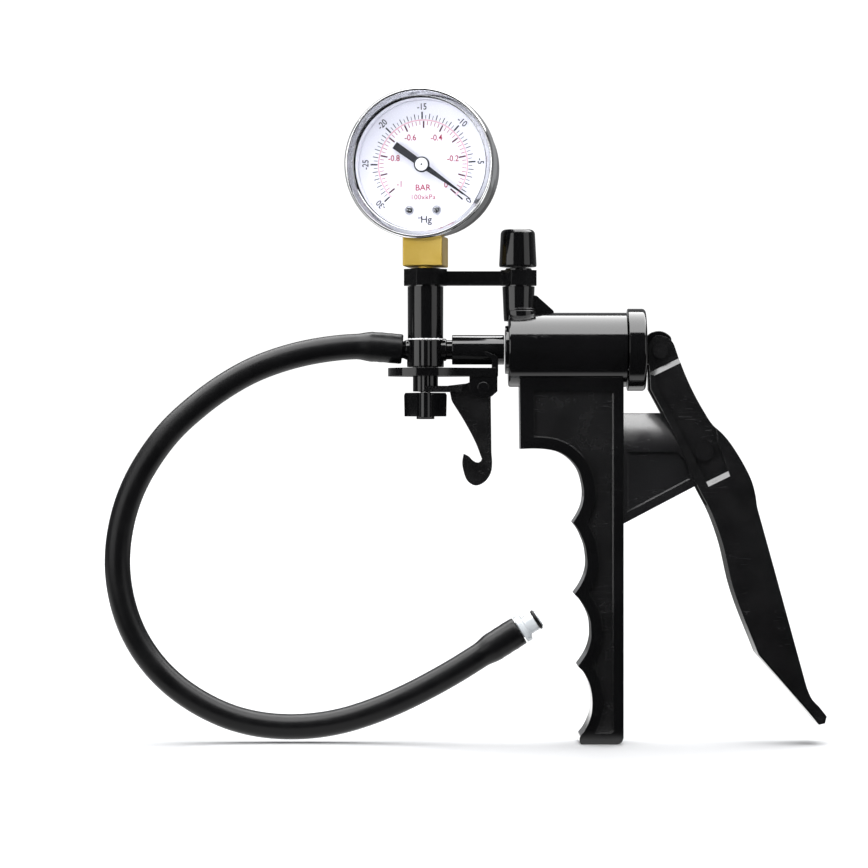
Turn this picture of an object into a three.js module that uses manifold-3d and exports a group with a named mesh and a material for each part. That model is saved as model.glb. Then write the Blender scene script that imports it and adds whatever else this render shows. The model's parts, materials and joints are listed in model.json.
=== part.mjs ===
// Hand vacuum pump: pistol grip, squeeze lever, piston barrel, release valve with
// finger trigger, dial vacuum gauge and a hose with a plug-in nozzle.
// Millimetres. +Z up, +X from the valve end towards the lever, -Y towards the dial face.
// The origin is the middle of the hand grip.
import * as THREE from 'three';
import { mergeVertices } from 'three/addons/utils/BufferGeometryUtils.js';
import Module from 'manifold-3d';

const wasm = await Module();
wasm.setup();

// ---------------------------------------------------------------- driving dimensions
const GAP = 0.3;                 // clearance between neighbouring pieces

const AXIS_Z = 69.7;             // height of the barrel's axis
const BARREL_R = 10.75;
const BARREL_BORE_R = 9.0;
const BARREL_X0 = -27.8;         // closed front face
const BARREL_X1 = 6.4;           // open rear end
const FRONT_WALL = 2.0;
const CAP_R = 11.9;
const CAP_X1 = 11.9;
const ROD_R = 3.0;

const GRIP_HALF = 7.5;           // half the grip's thickness
const PANEL_DEPTH = 1.3;         // recess inside the grip's rim

const PIVOT = [28.42, 40.1];     // squeeze lever's fixed pivot (x, z)
const ROD_PIN = [15.8, 69.2];    // pin that joins the lever to the piston rod (x, z)
const PIVOT_PIN_R = 1.7;
const ROD_PIN_R = 1.3;
const LEVER_HALF = 8.0;          // half the handle's width
const CHEEK_IN = 4.0;            // cheeks run from here ...
const CHEEK_OUT = 7.0;           // ... to here on both sides

const VALVE_X = -51.77;          // axis of the release valve, gauge post and gauge
const VALVE_R = 5.35;
const SLEEVE_R = 3.65;
const SLEEVE_BORE_R = 2.3;
const VALVE_Z0 = 64.7;
const VALVE_Z1 = 72.6;
const SLEEVE_Z0 = 57.6;

const POST_R = 5.2;
const POST_Z1 = 93.3;
const COLLAR_Z0 = 88.3;
const COLLAR_Z1 = 93.0;
const BOSS_X = -24.8;            // axis of the exhaust valve housing
const BOSS_R = 4.65;

const TRIG_PIVOT = [-35.1, 58.66];
const TRIG_HALF = 3.2;

const GAUGE_Z = 122.9;           // centre of the dial
const GAUGE_TURN = -9 * Math.PI / 180;
const BEZEL_R = 21.7;
const CASE_R = 20.0;
const POINTER_DEG = -35.5;         // pointer at rest, beside its zero mark

const HOSE_R = 3.7;              // free hose, 7.4 mm outside
const HOSE_END_R = 4.35;         // where it is stretched over its fittings

// ---------------------------------------------------------------- solids
function toSolid(geometry) {
  const g = (geometry.index ? geometry.toNonIndexed() : geometry.clone());
  for (const k of Object.keys(g.attributes)) if (k !== 'position') g.deleteAttribute(k);
  const m = mergeVertices(g, 1e-4);
  const s = new wasm.Manifold(new wasm.Mesh({
    numProp: 3,
    vertProperties: Float32Array.from(m.attributes.position.array),
    triVerts: Uint32Array.from(m.index.array),
  }));
  return s;
}

function toGeometry(solid) {
  const m = solid.getMesh();
  const g = new THREE.BufferGeometry();
  const p = new Float32Array(m.numVert * 3);
  for (let i = 0; i < m.numVert; i++)
    for (let k = 0; k < 3; k++) p[3 * i + k] = m.vertProperties[i * m.numProp + k];
  g.setAttribute('position', new THREE.BufferAttribute(p, 3));
  g.setIndex(new THREE.BufferAttribute(Uint32Array.from(m.triVerts), 1));
  g.computeVertexNormals();
  return g;
}

const join = (...gs) => toGeometry(gs.map(toSolid).reduce((a, b) => a.add(b)));
const cut = (g, ...tools) => toGeometry(tools.map(toSolid).reduce((a, b) => a.subtract(b), toSolid(g)));
const common = (a, b) => toGeometry(toSolid(a).intersect(toSolid(b)));

// Body of revolution about Z at (x, y): profile [[r, z], ...]; closes on itself, or on the axis.
function revolve(profile, x = 0, y = 0, seg = 32) {
  const onAxis = profile[0][0] === 0 && profile[profile.length - 1][0] === 0;
  const pts = profile.map(([r, z]) => new THREE.Vector2(r, z));
  if (!onAxis) pts.push(pts[0].clone());
  let area = 0;
  for (let i = 0; i < pts.length; i++) {
    const a = pts[i], b = pts[(i + 1) % pts.length];
    area += a.x * b.y - b.x * a.y;
  }
  if (area < 0) pts.reverse();
  const g = new THREE.LatheGeometry(pts, seg > 12 ? 2 * Math.round(seg * 0.36) : seg);
  g.rotateX(Math.PI / 2);
  return g.translate(x, y, 0);
}
// The same about an axis parallel to X at height z: profile [[r, x], ...].
function revolveX(profile, z, seg = 32, y = 0) {
  const g = revolve(profile, 0, 0, seg);
  g.rotateY(Math.PI / 2);
  return g.translate(0, y, z);
}
// The same about an axis parallel to Y: profile [[r, y], ...], centred at (x, z).
function revolveY(profile, x, z, seg = 32) {
  const g = revolve(profile, 0, 0, seg);
  g.rotateX(-Math.PI / 2);
  return g.translate(x, 0, z);
}
const rod = (r, a, b) => [[0, a], [r, a], [r, b], [0, b]];
const ring = (ri, ro, a, b) => [[ri, a], [ro, a], [ro, b], [ri, b]];

// A side outline in the XZ plane, thickened from y0 to y1.
function plate(outline, y0, y1, holes = []) {
  const shape = new THREE.Shape(outline.map(([x, z]) => new THREE.Vector2(x, z)));
  for (const h of holes) shape.holes.push(new THREE.Path(h.map(([x, z]) => new THREE.Vector2(x, z))));
  const g = new THREE.ExtrudeGeometry(shape, { depth: y1 - y0, bevelEnabled: false });
  g.rotateX(Math.PI / 2);
  return g.translate(0, y1, 0);
}
// A plan outline in the XY plane, thickened from z0 to z1.
function slab(outline, z0, z1) {
  const shape = new THREE.Shape(outline.map(([x, y]) => new THREE.Vector2(x, y)));
  return new THREE.ExtrudeGeometry(shape, { depth: z1 - z0, bevelEnabled: false }).translate(0, 0, z0);
}
const block = (x0, x1, y0, y1, z0, z1) =>
  new THREE.BoxGeometry(x1 - x0, y1 - y0, z1 - z0).translate((x0 + x1) / 2, (y0 + y1) / 2, (z0 + z1) / 2);
const arc = (cx, cz, r, a0, a1, n) => Array.from({ length: n + 1 }, (_, i) => {
  const a = (a0 + (a1 - a0) * i / n) * Math.PI / 180;
  return [cx + r * Math.cos(a), cz + r * Math.sin(a)];
});

// A closed tube of round section along a path, with a radius for each point.
function sweep(points, radii, sides = 8) {
  const n = points.length, pos = [], idx = [];
  const P = points.map((p) => new THREE.Vector3(...p));
  const up = new THREE.Vector3(0, 1, 0);
  for (let i = 0; i < n; i++) {
    const t = P[Math.min(i + 1, n - 1)].clone().sub(P[Math.max(i - 1, 0)]).normalize();
    let u = up.clone().sub(t.clone().multiplyScalar(up.dot(t))).normalize();
    const v = new THREE.Vector3().crossVectors(t, u);
    for (let k = 0; k < sides; k++) {
      const a = 2 * Math.PI * (k + 0.5) / sides;
      const q = P[i].clone().addScaledVector(u, radii[i] * Math.cos(a)).addScaledVector(v, radii[i] * Math.sin(a));
      pos.push(q.x, q.y, q.z);
    }
  }
  for (let i = 0; i < n - 1; i++)
    for (let k = 0; k < sides; k++) {
      const a = i * sides + k, b = i * sides + (k + 1) % sides, c = a + sides, d = b + sides;
      idx.push(a, b, d, a, d, c);
    }
  for (let k = 1; k < sides - 1; k++) {
    idx.push(0, k + 1, k);
    const o = (n - 1) * sides;
    idx.push(o, o + k, o + k + 1);
  }
  const g = new THREE.BufferGeometry();
  g.setAttribute('position', new THREE.Float32BufferAttribute(pos, 3));
  g.setIndex(idx);
  if (toSolid(g).volume() < 0) {
    for (let i = 0; i < idx.length; i += 3) [idx[i + 1], idx[i + 2]] = [idx[i + 2], idx[i + 1]];
    g.setIndex(idx);
  }
  return g;
}

// A spring: a wire swept along a helix about Z from z0 to z1.
function helix(r, wire, turns, z0, z1, x, y, perTurn = 10) {
  const n = Math.round(turns * perTurn), pts = [];
  for (let i = 0; i <= n; i++) {
    const a = 2 * Math.PI * turns * i / n;
    pts.push(new THREE.Vector3(x + r * Math.cos(a), y + r * Math.sin(a), z0 + wire + (z1 - z0 - 2 * wire) * i / n));
  }
  const path = new THREE.CatmullRomCurve3(pts);
  const section = new THREE.Shape(arc(0, 0, wire, 0, 288, 4).map(([a, b]) => new THREE.Vector2(a, b)));
  return new THREE.ExtrudeGeometry(section, { steps: n, extrudePath: path, bevelEnabled: false });
}

const model = new THREE.Group();
function piece(name, geometry, colour, roughness, metalness = 0, parent = model) {
  const mesh = new THREE.Mesh(geometry, new THREE.MeshStandardMaterial({ color: colour, roughness, metalness }));
  mesh.name = name;
  parent.add(mesh);
  return mesh;
}
const BLACK = 0x0c0c0e, RUBBER = 0x111112, STEEL = 0xb9bcc0, BRASS = 0xc9a13c, WHITE = 0xf2f2ee;

// ---------------------------------------------------------------- barrel and its fittings
// Open at the rear, closed in front by a wall with an inlet hole; on top stands the
// housing of the exhaust valve, stiffened by a rib behind it.
{
  const shell = revolveX([
    [1.6, BARREL_X0 - 0.9], [6.96, BARREL_X0 - 0.9], [6.96, BARREL_X0], [BARREL_R, BARREL_X0],
    [BARREL_R, BARREL_X1], [BARREL_BORE_R, BARREL_X1], [BARREL_BORE_R, BARREL_X0 + FRONT_WALL],
    [1.6, BARREL_X0 + FRONT_WALL]], AXIS_Z, 40);
  const boss = revolve(rod(BOSS_R, AXIS_Z + 5, 88.0), BOSS_X, 0, 28);
  const foot = revolve(rod(BOSS_R + 0.7, AXIS_Z + 5, 81.6), BOSS_X, 0, 28);
  const neck = revolve(rod(3.8, 87, POST_Z1), BOSS_X, 0, 28);
  const rib = plate([[BOSS_X + 2, 78], [-14.0, 78], [-14.6, 80.6], [BOSS_X + 4, 85.6], [BOSS_X + 2, 85.6]], -1.1, 1.1);
  const bore = revolveX(rod(BARREL_BORE_R, BARREL_X0 + FRONT_WALL, BARREL_X1 + 1), AXIS_Z, 40);
  const port = revolve(rod(1.0, 74, 84), BOSS_X, 0, 16);
  const chamber = revolve(rod(2.3, 82.4, POST_Z1 + 1), BOSS_X, 0, 20);
  piece('barrel', cut(join(shell, boss, foot, neck, rib), bore, port, chamber), BLACK, 0.18);
}
piece('barrel_cap', revolveX([
  [3.4, BARREL_X1 + GAP], [CAP_R, BARREL_X1 + GAP], [CAP_R, CAP_X1 - 0.5], [CAP_R - 0.5, CAP_X1], [3.4, CAP_X1]], AXIS_Z, 40), BLACK, 0.18);

// Exhaust valve: a ball on its seat, its spring, and the fluted knob that covers it.
piece('exhaust_ball', new THREE.SphereGeometry(1.6, 12, 8).translate(BOSS_X, 0, 84.3), STEEL, 0.2, 1);
piece('exhaust_spring', helix(1.5, 0.22, 4, 86.2, 92.6, BOSS_X, 0, 7), STEEL, 0.3, 1);
{
  const body = revolve([[0, 93.7], [5.45, 93.7], [5.4, 94.4], [4.95, 103.8], [4.5, 104.5], [0, 104.5]], BOSS_X - 0.2, 0, 24);
  piece('exhaust_knob', body, BLACK, 0.22);
}

// Inlet: union pipe from the release valve's body to the barrel, with a duckbill check valve in it.
piece('connecting_pipe', revolveX([
  [2.9, -44.1], [4.3, -44.1], [4.3, BARREL_X0 - 0.9 - GAP], [2.9, BARREL_X0 - 0.9 - GAP]], AXIS_Z, 28), BLACK, 0.16);
piece('duckbill_valve', join(
  revolveX(rod(2.5, -33.2, -31.4), AXIS_Z, 16),
  block(-31.5, -29.9, -1.9, 1.9, AXIS_Z - 0.5, AXIS_Z + 0.5)), RUBBER, 0.7);

// ---------------------------------------------------------------- grip
const GRIP = [
  [-23.8, 61.85], [-24.65, 61.0], [-24.4, 41.0], [-20.0, 41.1], [-16.2, 40.8], [-13.3, 40.1], [-11.0, 38.8],
  [-9.0, 36.9], [-7.5, 34.6], [-6.7, 32.0], [-6.25, 29.4], [-6.25, 27.1], [-6.7, 24.7], [-7.7, 22.4], [-9.3, 19.8],
  [-7.8, 17.8], [-6.7, 15.5], [-5.8, 13.1], [-5.4, 10.8], [-5.2, 8.5], [-5.4, 6.2], [-6.1, 3.9], [-7.3, 1.5], [-8.9, -0.8],
  [-7.3, -2.5], [-5.9, -4.6], [-4.9, -6.6], [-4.3, -8.6], [-4.1, -10.9], [-4.1, -13.3], [-4.5, -15.3], [-5.2, -17.3], [-6.4, -19.4], [-7.9, -21.5],
  [-6.4, -23.1], [-5.3, -24.9], [-4.6, -26.6], [-4.1, -28.6], [-3.8, -30.95], [-3.8, -33.3], [-4.1, -35.6], [-4.9, -37.9], [-6.1, -40.2], [-7.4, -42.0],
  [-7.5, -43.2], [-6.9, -44.0], [3.2, -44.0], [4.7, -43.4], [5.25, -42.0], [5.25, 60.1], [4.7, 61.4], [3.5, 61.85]];
// Inner edge of the rim, on both faces.
const PANEL = [
  [-20.6, 57.6], [-20.4, 44.6], [-16.5, 44.3], [-12.4, 43.3], [-8.6, 41.0], [-5.7, 38.0], [-3.7, 34.2], [-2.8, 30.0], [-2.9, 25.6], [-4.3, 21.4], [-4.9, 19.5],
  [-3.6, 16.8], [-2.3, 13.0], [-1.8, 8.6], [-2.6, 4.2], [-4.6, -0.6], [-2.6, -3.9], [-1.2, -7.6], [-0.7, -12.0], [-1.6, -16.6], [-3.7, -21.2],
  [-2.1, -23.9], [-0.9, -27.5], [-0.4, -32.1], [-1.2, -37.0], [-2.8, -40.7], [1.5, -40.7], [2.2, -40.0], [2.2, 57.0], [1.6, 57.6]];
{
  const body = plate(GRIP, -GRIP_HALF, GRIP_HALF);
  const near = plate(PANEL, -GRIP_HALF - 1, -GRIP_HALF + PANEL_DEPTH);
  const far = plate(PANEL, GRIP_HALF - PANEL_DEPTH, GRIP_HALF + 1);
  const saddle = revolveX(rod(BARREL_R + GAP, -40, 30), AXIS_Z, 40);
  const cap = revolveX(rod(CAP_R + GAP, BARREL_X1, 30), AXIS_Z, 40);
  const web = block(3.4, 6, -3.7, 3.7, 18.6, 52.0);
  piece('grip', cut(body, near, far, saddle, cap, web), BLACK, 0.25);
}

// Web behind the grip that carries the squeeze lever's pivot.
{
  const outline = [[3.7, 51.4], [19.1, 51.4], [25.0, 47.0], [29.6, 44.9], [32.2, 42.9], [33.0, 40.1], [32.2, 37.2], [29.8, 33.8],
    [27.15, 30.8], [5.4, 19.35], [3.7, 19.35]];
  const panel = [[6.6, 49.0], [18.2, 49.0], [24.2, 44.7], [23.6, 38.4], [25.2, 32.4], [6.6, 22.6]];
  const hole = revolveY(rod(PIVOT_PIN_R + 0.06, -5, 5), PIVOT[0], PIVOT[1], 24);
  piece('pivot_bracket', cut(plate(outline, -3.4, 3.4), plate(panel, -4, -2.3), plate(panel, 2.3, 4), hole), BLACK, 0.2);
}
piece('pivot_pin', revolveY([[0, -7.9], [2.6, -7.9], [2.6, -7.3], [PIVOT_PIN_R, -7.3], [PIVOT_PIN_R, 7.3], [2.6, 7.3], [2.6, 7.9], [0, 7.9]], PIVOT[0], PIVOT[1], 24), STEEL, 0.3, 1);

// ---------------------------------------------------------------- squeeze lever
// Two cheeks straddle the web and end at the rod pin; below the web the handle is one body.
const CHEEK = [
  ...arc(ROD_PIN[0], ROD_PIN[1], 3.7, 175, 10, 12), [24.4, 58.1], [27.8, 51.2], [31.4, 44.6], [35.0, 35.2], [30.0, 30.6], [26.8, 29.9],
  [20.6, 44.2], [17.5, 50.1], [13.1, 58.2], [12.9, 63.3]];
{
  // The handle's outer skin, with a pocket for the web.
  const back = plate([[20.6, 44.2], [27.8, 51.2], [33.2, 45.6], [36.0, 44.6], [39.6, 40.4], [42.65, 29.8], [43.7, 23.9], [48.7, 5.8], [57.3, -25.6],
    [59.0, -30.6], [61.3, -33.0], [63.6, -35.9], [63.1, -37.9], [61.3, -38.3], [58.0, -34.3], [44.0, -18.2], [36.7, 1.1], [33.3, 15.1],
    [30.6, 22.5], [26.8, 29.9]], -LEVER_HALF, LEVER_HALF);
  const cheeks = plate(CHEEK, -CHEEK_OUT, CHEEK_OUT);
  const pocketTop = block(0, 34, -CHEEK_IN, CHEEK_IN, 38.6, 80);
  const pocket = plate([...arc(PIVOT[0], PIVOT[1], 10.4, 80, -34, 14), ...arc(PIVOT[0], PIVOT[1], 15.5, -52, -100, 6), [10, 26], [10, 52]], -CHEEK_IN, CHEEK_IN);
  const pivotHole = revolveY(rod(PIVOT_PIN_R + 0.06, -12, 12), PIVOT[0], PIVOT[1], 24);
  const seat = [[-12, -7.2], [7.2, 12]].map(([a, b]) => revolveY(rod(3.0, a, b), PIVOT[0], PIVOT[1], 24));
  const pinHole = revolveY(rod(ROD_PIN_R + 0.05, -12, 12), ROD_PIN[0], ROD_PIN[1], 20);
  piece('squeeze_lever', cut(join(back, cheeks), pocket, pocketTop, pivotHole, ...seat, pinHole), BLACK, 0.2);
}
piece('rod_pin', revolveY([[0, -7.7], [2.3, -7.7], [2.3, -7.3], [ROD_PIN_R, -7.3], [ROD_PIN_R, 7.3], [2.3, 7.3], [2.3, 7.7], [0, 7.7]], ROD_PIN[0], ROD_PIN[1], 20), STEEL, 0.3, 1);

// ---------------------------------------------------------------- piston
piece('piston_rod', (() => {
  const shaft = revolveX(rod(ROD_R, -24.4, 13.0), AXIS_Z, 24);
  const tongue = plate([[12.25, 66.0], [13.2, 65.2], [17.6, 65.2], [19.3, 66.8], [19.3, 72.6], [17.6, 74.6], [15.4, 75.1], [13.2, 74.4], [12.25, 73.2]], -3.6, 3.6);
  const slot = plate([...arc(ROD_PIN[0], ROD_PIN[1], 1.62, 180, 360, 8), ...arc(ROD_PIN[0], ROD_PIN[1] + 2.75, 1.62, 0, 180, 8)], -5, 5);
  return cut(join(shaft, tongue), slot);
})(), BLACK, 0.25);
piece('piston', revolveX(ring(ROD_R + 0.06, 8.5, -23.6, -20.6), AXIS_Z, 32), WHITE, 0.5);
piece('piston_cup', revolveX([[0, -25.3], [8.2, -25.3], [8.8, -24.9], [8.8, -24.0], [8.2, -23.9], [3.3, -23.9], [3.3, -24.7], [0, -24.7]], AXIS_Z, 32), RUBBER, 0.8);
piece('return_spring', (() => {
  const g = helix(5.6, 0.5, 5, -20.2, 6.3, 0, 0, 9);
  g.rotateY(Math.PI / 2);
  return g.translate(0, 0, AXIS_Z);
})(), STEEL, 0.3, 1);

// ---------------------------------------------------------------- release valve
// Cross-shaped body: hose barb to the left, pipe to the right, gauge post above and
// the plunger's sleeve below.
{
  const core = revolve(rod(VALVE_R, VALVE_Z0, VALVE_Z1), VALVE_X, 0, 32);
  const sleeve = revolve(rod(SLEEVE_R, SLEEVE_Z0, VALVE_Z0 + 1), VALVE_X, 0, 24);
  const left = revolveX(rod(2.55, -58.1, VALVE_X), AXIS_Z, 24);
  const right = revolveX(rod(2.9, VALVE_X, -44.4), AXIS_Z, 24);
  const rib = revolve(rod(1.9, VALVE_Z0, VALVE_Z1), VALVE_X, -4.7, 20);
  const bore = revolve([[0, 50], [SLEEVE_BORE_R, 50], [SLEEVE_BORE_R, 66.0], [3.7, 66.0], [3.7, 80], [0, 80]], VALVE_X, 0, 24);
  const across = revolveX(rod(1.5, -60, -40), AXIS_Z, 16);
  piece('valve_body', cut(join(core, sleeve, left, right, rib), bore, across), BLACK, 0.2);
}
piece('plunger_stem', revolve([[0, 52.0], [1.5, 52.0], [1.5, 57.4], [2.15, 57.8], [2.15, 58.6], [1.6, 58.6], [1.6, 59.8], [2.15, 59.8], [2.15, 61.0], [1.5, 61.4],
  [1.5, 70.9], [3.3, 70.9], [3.3, 72.0], [0, 72.0]], VALVE_X, 0, 20), WHITE, 0.5);
piece('plunger_oring', revolve(ring(1.66, 2.24, 58.75, 59.65), VALVE_X, 0, 20), RUBBER, 0.7);
piece('plunger_spring', helix(2.6, 0.25, 3, 66.2, 70.6, VALVE_X, 0, 8), STEEL, 0.3, 1);
{
  // Open-bottomed octagonal button under the sleeve, with a central hub on the stem.
  const outer = revolve([[0, 50.4], [6.55, 50.4], [6.7, 56.4], [6.3, 57.2], [0, 57.2]], VALVE_X, 0, 8);
  outer.translate(-VALVE_X, 0, 0).rotateZ(Math.PI / 8).translate(VALVE_X, 0, 0);
  const hollow = revolve(ring(2.7, 5.1, 49, 55.2), VALVE_X, 0, 16);
  const socket = revolve([[0, 51.6], [1.8, 51.6], [1.8, 60], [0, 60]], VALVE_X, 0, 20);
  const hub = revolve(rod(2.7, 49.6, 56), VALVE_X, 0, 20);
  const rib = revolve(rod(1.9, 50.0, 57.2), VALVE_X, -5.4, 16);
  piece('release_button', cut(join(cut(outer, hollow), hub, rib), socket), BLACK, 0.22);
}
{
  // Plate clamped round the sleeve, with two lugs for the trigger and two clip arms on the pipe.
  const round = arc(VALVE_X, 0, 10.87, 60, 300, 24).map(([x, y]) => [x, y]);
  const base = slab([...round, [-38.0, -6.2], [-31.6, -5.9], [-30.8, -5.0], [-30.8, 5.0], [-31.6, 5.9], [-38.0, 6.2]], 62.0, 64.4);
  const hole = revolve(rod(SLEEVE_R + 0.25, 60, 66), VALVE_X, 0, 24);
  const lug = (y0, y1) => plate([[-39.0, 62.4], [-31.0, 62.4], [-31.0, 57.6], [-32.6, 56.2], [-37.4, 56.2], [-39.0, 57.6]], y0, y1);
  const clip = (y0, y1) => plate([[-32.5, 63.0], [-30.8, 63.0], [-30.8, 67.3], [-31.6, 68.0], [-34.6, 69.2], [-34.6, 68.2], [-32.5, 66.6]], y0, y1);
  const pinHole = revolveY(rod(1.06, -10, 10), TRIG_PIVOT[0], TRIG_PIVOT[1], 16);
  piece('trigger_bracket', cut(join(base, lug(3.6, 5.4), lug(-5.4, -3.6), clip(4.6, 5.8), clip(-5.8, -4.6)), hole, pinHole), BLACK, 0.2);
}
piece('trigger_pin', revolveY([[0, -6.1], [1.7, -6.1], [1.7, -5.7], [1.0, -5.7], [1.0, 5.7], [1.7, 5.7], [1.7, 6.1], [0, 6.1]], TRIG_PIVOT[0], TRIG_PIVOT[1], 16), STEEL, 0.3, 1);
{
  // J-shaped finger trigger; its forked heel lies on the button.
  const finger = plate([[-45.1, 59.3], [-44.6, 57.1], [-43.9, 54.5], [-39.9, 48.0], [-36.9, 42.1], [-35.4, 38.1], [-36.4, 37.0], [-38.0, 37.6], [-39.3, 38.9],
    [-40.7, 39.6], [-41.1, 37.0], [-40.7, 34.5], [-39.4, 31.5], [-37.4, 30.4], [-34.9, 31.3], [-32.9, 34.1], [-32.5, 37.1], [-32.7, 40.1],
    [-32.9, 56.0], [-33.0, 59.6], [-34.0, 60.8], [-36.4, 61.2], [-38.4, 60.6], [-40.0, 59.9]], -TRIG_HALF, TRIG_HALF);
  const yoke = block(-45.1, -41.2, -6.0, 6.0, 57.6, 59.3);
  const prong = (y0, y1) => block(-52.3, -44.5, y0, y1, 57.5, 59.2);
  const hole = revolveY(rod(1.06, -10, 10), TRIG_PIVOT[0], TRIG_PIVOT[1], 16);
  piece('release_trigger', cut(join(finger, yoke, prong(4.2, 6.0), prong(-6.0, -4.2)), hole), BLACK, 0.25);
}

// ---------------------------------------------------------------- gauge post and bridge
piece('gauge_post', revolve([[2.7, VALVE_Z1 + GAP], [POST_R, VALVE_Z1 + GAP], [POST_R, 88.0], [4.3, 88.0], [4.3, POST_Z1], [2.7, POST_Z1]], VALVE_X, 0, 32), BLACK, 0.16);
{
  const octagon = (x, r) => Array.from({ length: 8 }, (_, i) => {
    const a = (i + 0.5) * Math.PI / 4;
    return [x + r * Math.cos(a), r * Math.sin(a)];
  });
  const left = slab(octagon(VALVE_X, 6.75), COLLAR_Z0, COLLAR_Z1);
  const right = slab(octagon(BOSS_X, 5.6), COLLAR_Z0, COLLAR_Z1 - 0.3);
  const bar = block(VALVE_X + 5, BOSS_X - 4.5, -1.7, 1.7, COLLAR_Z0 + 0.1, COLLAR_Z1 - 0.6);
  const flange = block(VALVE_X + 5, BOSS_X - 4.5, -2.6, 2.6, COLLAR_Z0 + 0.05, COLLAR_Z0 + 1.0);
  const holes = [revolve(rod(4.6, 80, 100), VALVE_X, 0, 28), revolve(rod(4.1, 80, 100), BOSS_X, 0, 28)];
  piece('bridge_bar', cut(join(left, right, bar, flange), ...holes), BLACK, 0.2);
}

// ---------------------------------------------------------------- gauge
// Built about its own axis (Y, dial towards -Y) and turned a little on its thread.
const gauge = new THREE.Group();
gauge.position.set(VALVE_X, 0, 0);
gauge.rotation.z = GAUGE_TURN;
model.add(gauge);
{
  const square = block(-5.8, 5.8, -5.8, 5.8, 93.7, 100.7);
  const stem = revolve(rod(2.2, 85.0, 94), 0, 0, 20);
  const neck = revolve(rod(3.4, 100, 107.4), 0, 0, 20);
  piece('gauge_socket', cut(join(square, stem, neck), revolve(rod(1.1, 84, 105), 0, 0, 12)), BRASS, 0.35, 1, gauge);
}
{
  const can = revolveY([[0, 13.0], [CASE_R - 1, 13.0], [CASE_R, 12.0], [CASE_R, -8.5], [CASE_R - 0.9, -8.5], [CASE_R - 0.9, 12.0], [0, 12.0]], 0, GAUGE_Z, 48);
  piece('gauge_case', cut(can, revolve(rod(3.7, 95, 112), 0, 0, 20)), 0x1a1a1c, 0.3, 0.6, gauge);
}
piece('gauge_bezel', revolveY([[20.3, -4.2], [BEZEL_R, -4.2], [BEZEL_R, -12.0], [21.2, -13.0], [20.7, -13.0], [19.2, -10.8], [20.3, -10.7]], 0, GAUGE_Z, 48), 0xd5d7da, 0.12, 1, gauge);
piece('gauge_lens', revolveY(rod(19.9, -10.4, -8.9), 0, GAUGE_Z, 48), 0xe8f2f6, 0.05, 0, gauge);
{
  const face = revolveY(ring(1.2, 18.8, -4.6, -4.0), 0, GAUGE_Z, 48);
  const holes = [-1, 1].map((s) => revolveY(rod(0.75, -9, 0), s * 4.0, GAUGE_Z - 13.0, 10));
  piece('gauge_dial', cut(face, ...holes), WHITE, 0.45, 0, gauge);
}
for (const [name, s] of [['dial_screw_left', -1], ['dial_screw_right', 1]])
  piece(name, revolveY([[0, -5.4], [0.8, -5.4], [1.3, -4.9], [0.65, -4.9], [0.65, -1.9], [0, -1.9]], s * 4.0, GAUGE_Z - 13.0, 12), STEEL, 0.3, 1, gauge);
// Movement: plate on the socket, curved pressure tube, toothed sector and the pointer's spindle.
piece('movement_plate', cut(join(block(-6, 6, -1.6, -0.6, GAUGE_Z - 15.0, GAUGE_Z + 5)),
  revolveY(rod(0.8, -4, 2), 0, GAUGE_Z, 12), revolveY(rod(0.8, -4, 2), 0, GAUGE_Z - 9, 12)), BRASS, 0.35, 1, gauge);
{
  const n = 20, pts = [], rad = [];
  for (let i = 0; i <= n; i++) {
    const a = (-100 + 235 * -1 * i / n) * Math.PI / 180;
    pts.push([13.6 * Math.cos(a), 6.2, GAUGE_Z + 13.6 * Math.sin(a)]);
    rad.push(1.7);
  }
  piece('bourdon_tube', sweep(pts, rad, 8), BRASS, 0.4, 1, gauge);
}
piece('sector_gear', join(
  plate([[-1.5, GAUGE_Z - 10.4], [1.5, GAUGE_Z - 10.4], [2.0, GAUGE_Z - 8], ...arc(0, GAUGE_Z - 9, 7.0, 62, 118, 8), [-2.0, GAUGE_Z - 8]], 0.4, 1.2),
  revolveY(rod(0.6, -3.2, 2.4), 0, GAUGE_Z - 9, 12)), BRASS, 0.35, 1, gauge);
piece('pointer_spindle', revolveY([[0, -5.4], [0.5, -5.4], [0.5, -0.2], [0.5, 0.2], [1.5, 0.2], [1.5, 1.4], [0.5, 1.4], [0.5, 2.6], [0, 2.6]], 0, GAUGE_Z, 14), STEEL, 0.3, 1, gauge);
{
  const g = cut(plate([[-9.8, -1.15], [-9.8, 1.15], [-2.0, 1.0], [2.0, 0.95], [17.3, 0.12], [17.3, -0.12], [2.0, -0.95], [-2.0, -1.0]], -6.6, -6.0),
    revolveY(rod(0.9, -8, -4), 0, 0, 12));
  g.rotateY(-POINTER_DEG * Math.PI / 180);
  piece('pointer', g.translate(0, 0, GAUGE_Z), 0x16181c, 0.5, 0, gauge);
}
piece('pointer_hub', revolveY([[0, -7.5], [2.0, -7.5], [2.3, -7.2], [2.3, -6.9], [0.7, -6.9], [0.7, -5.7], [0, -5.7]], 0, GAUGE_Z, 24), WHITE, 0.4, 0, gauge);

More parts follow.
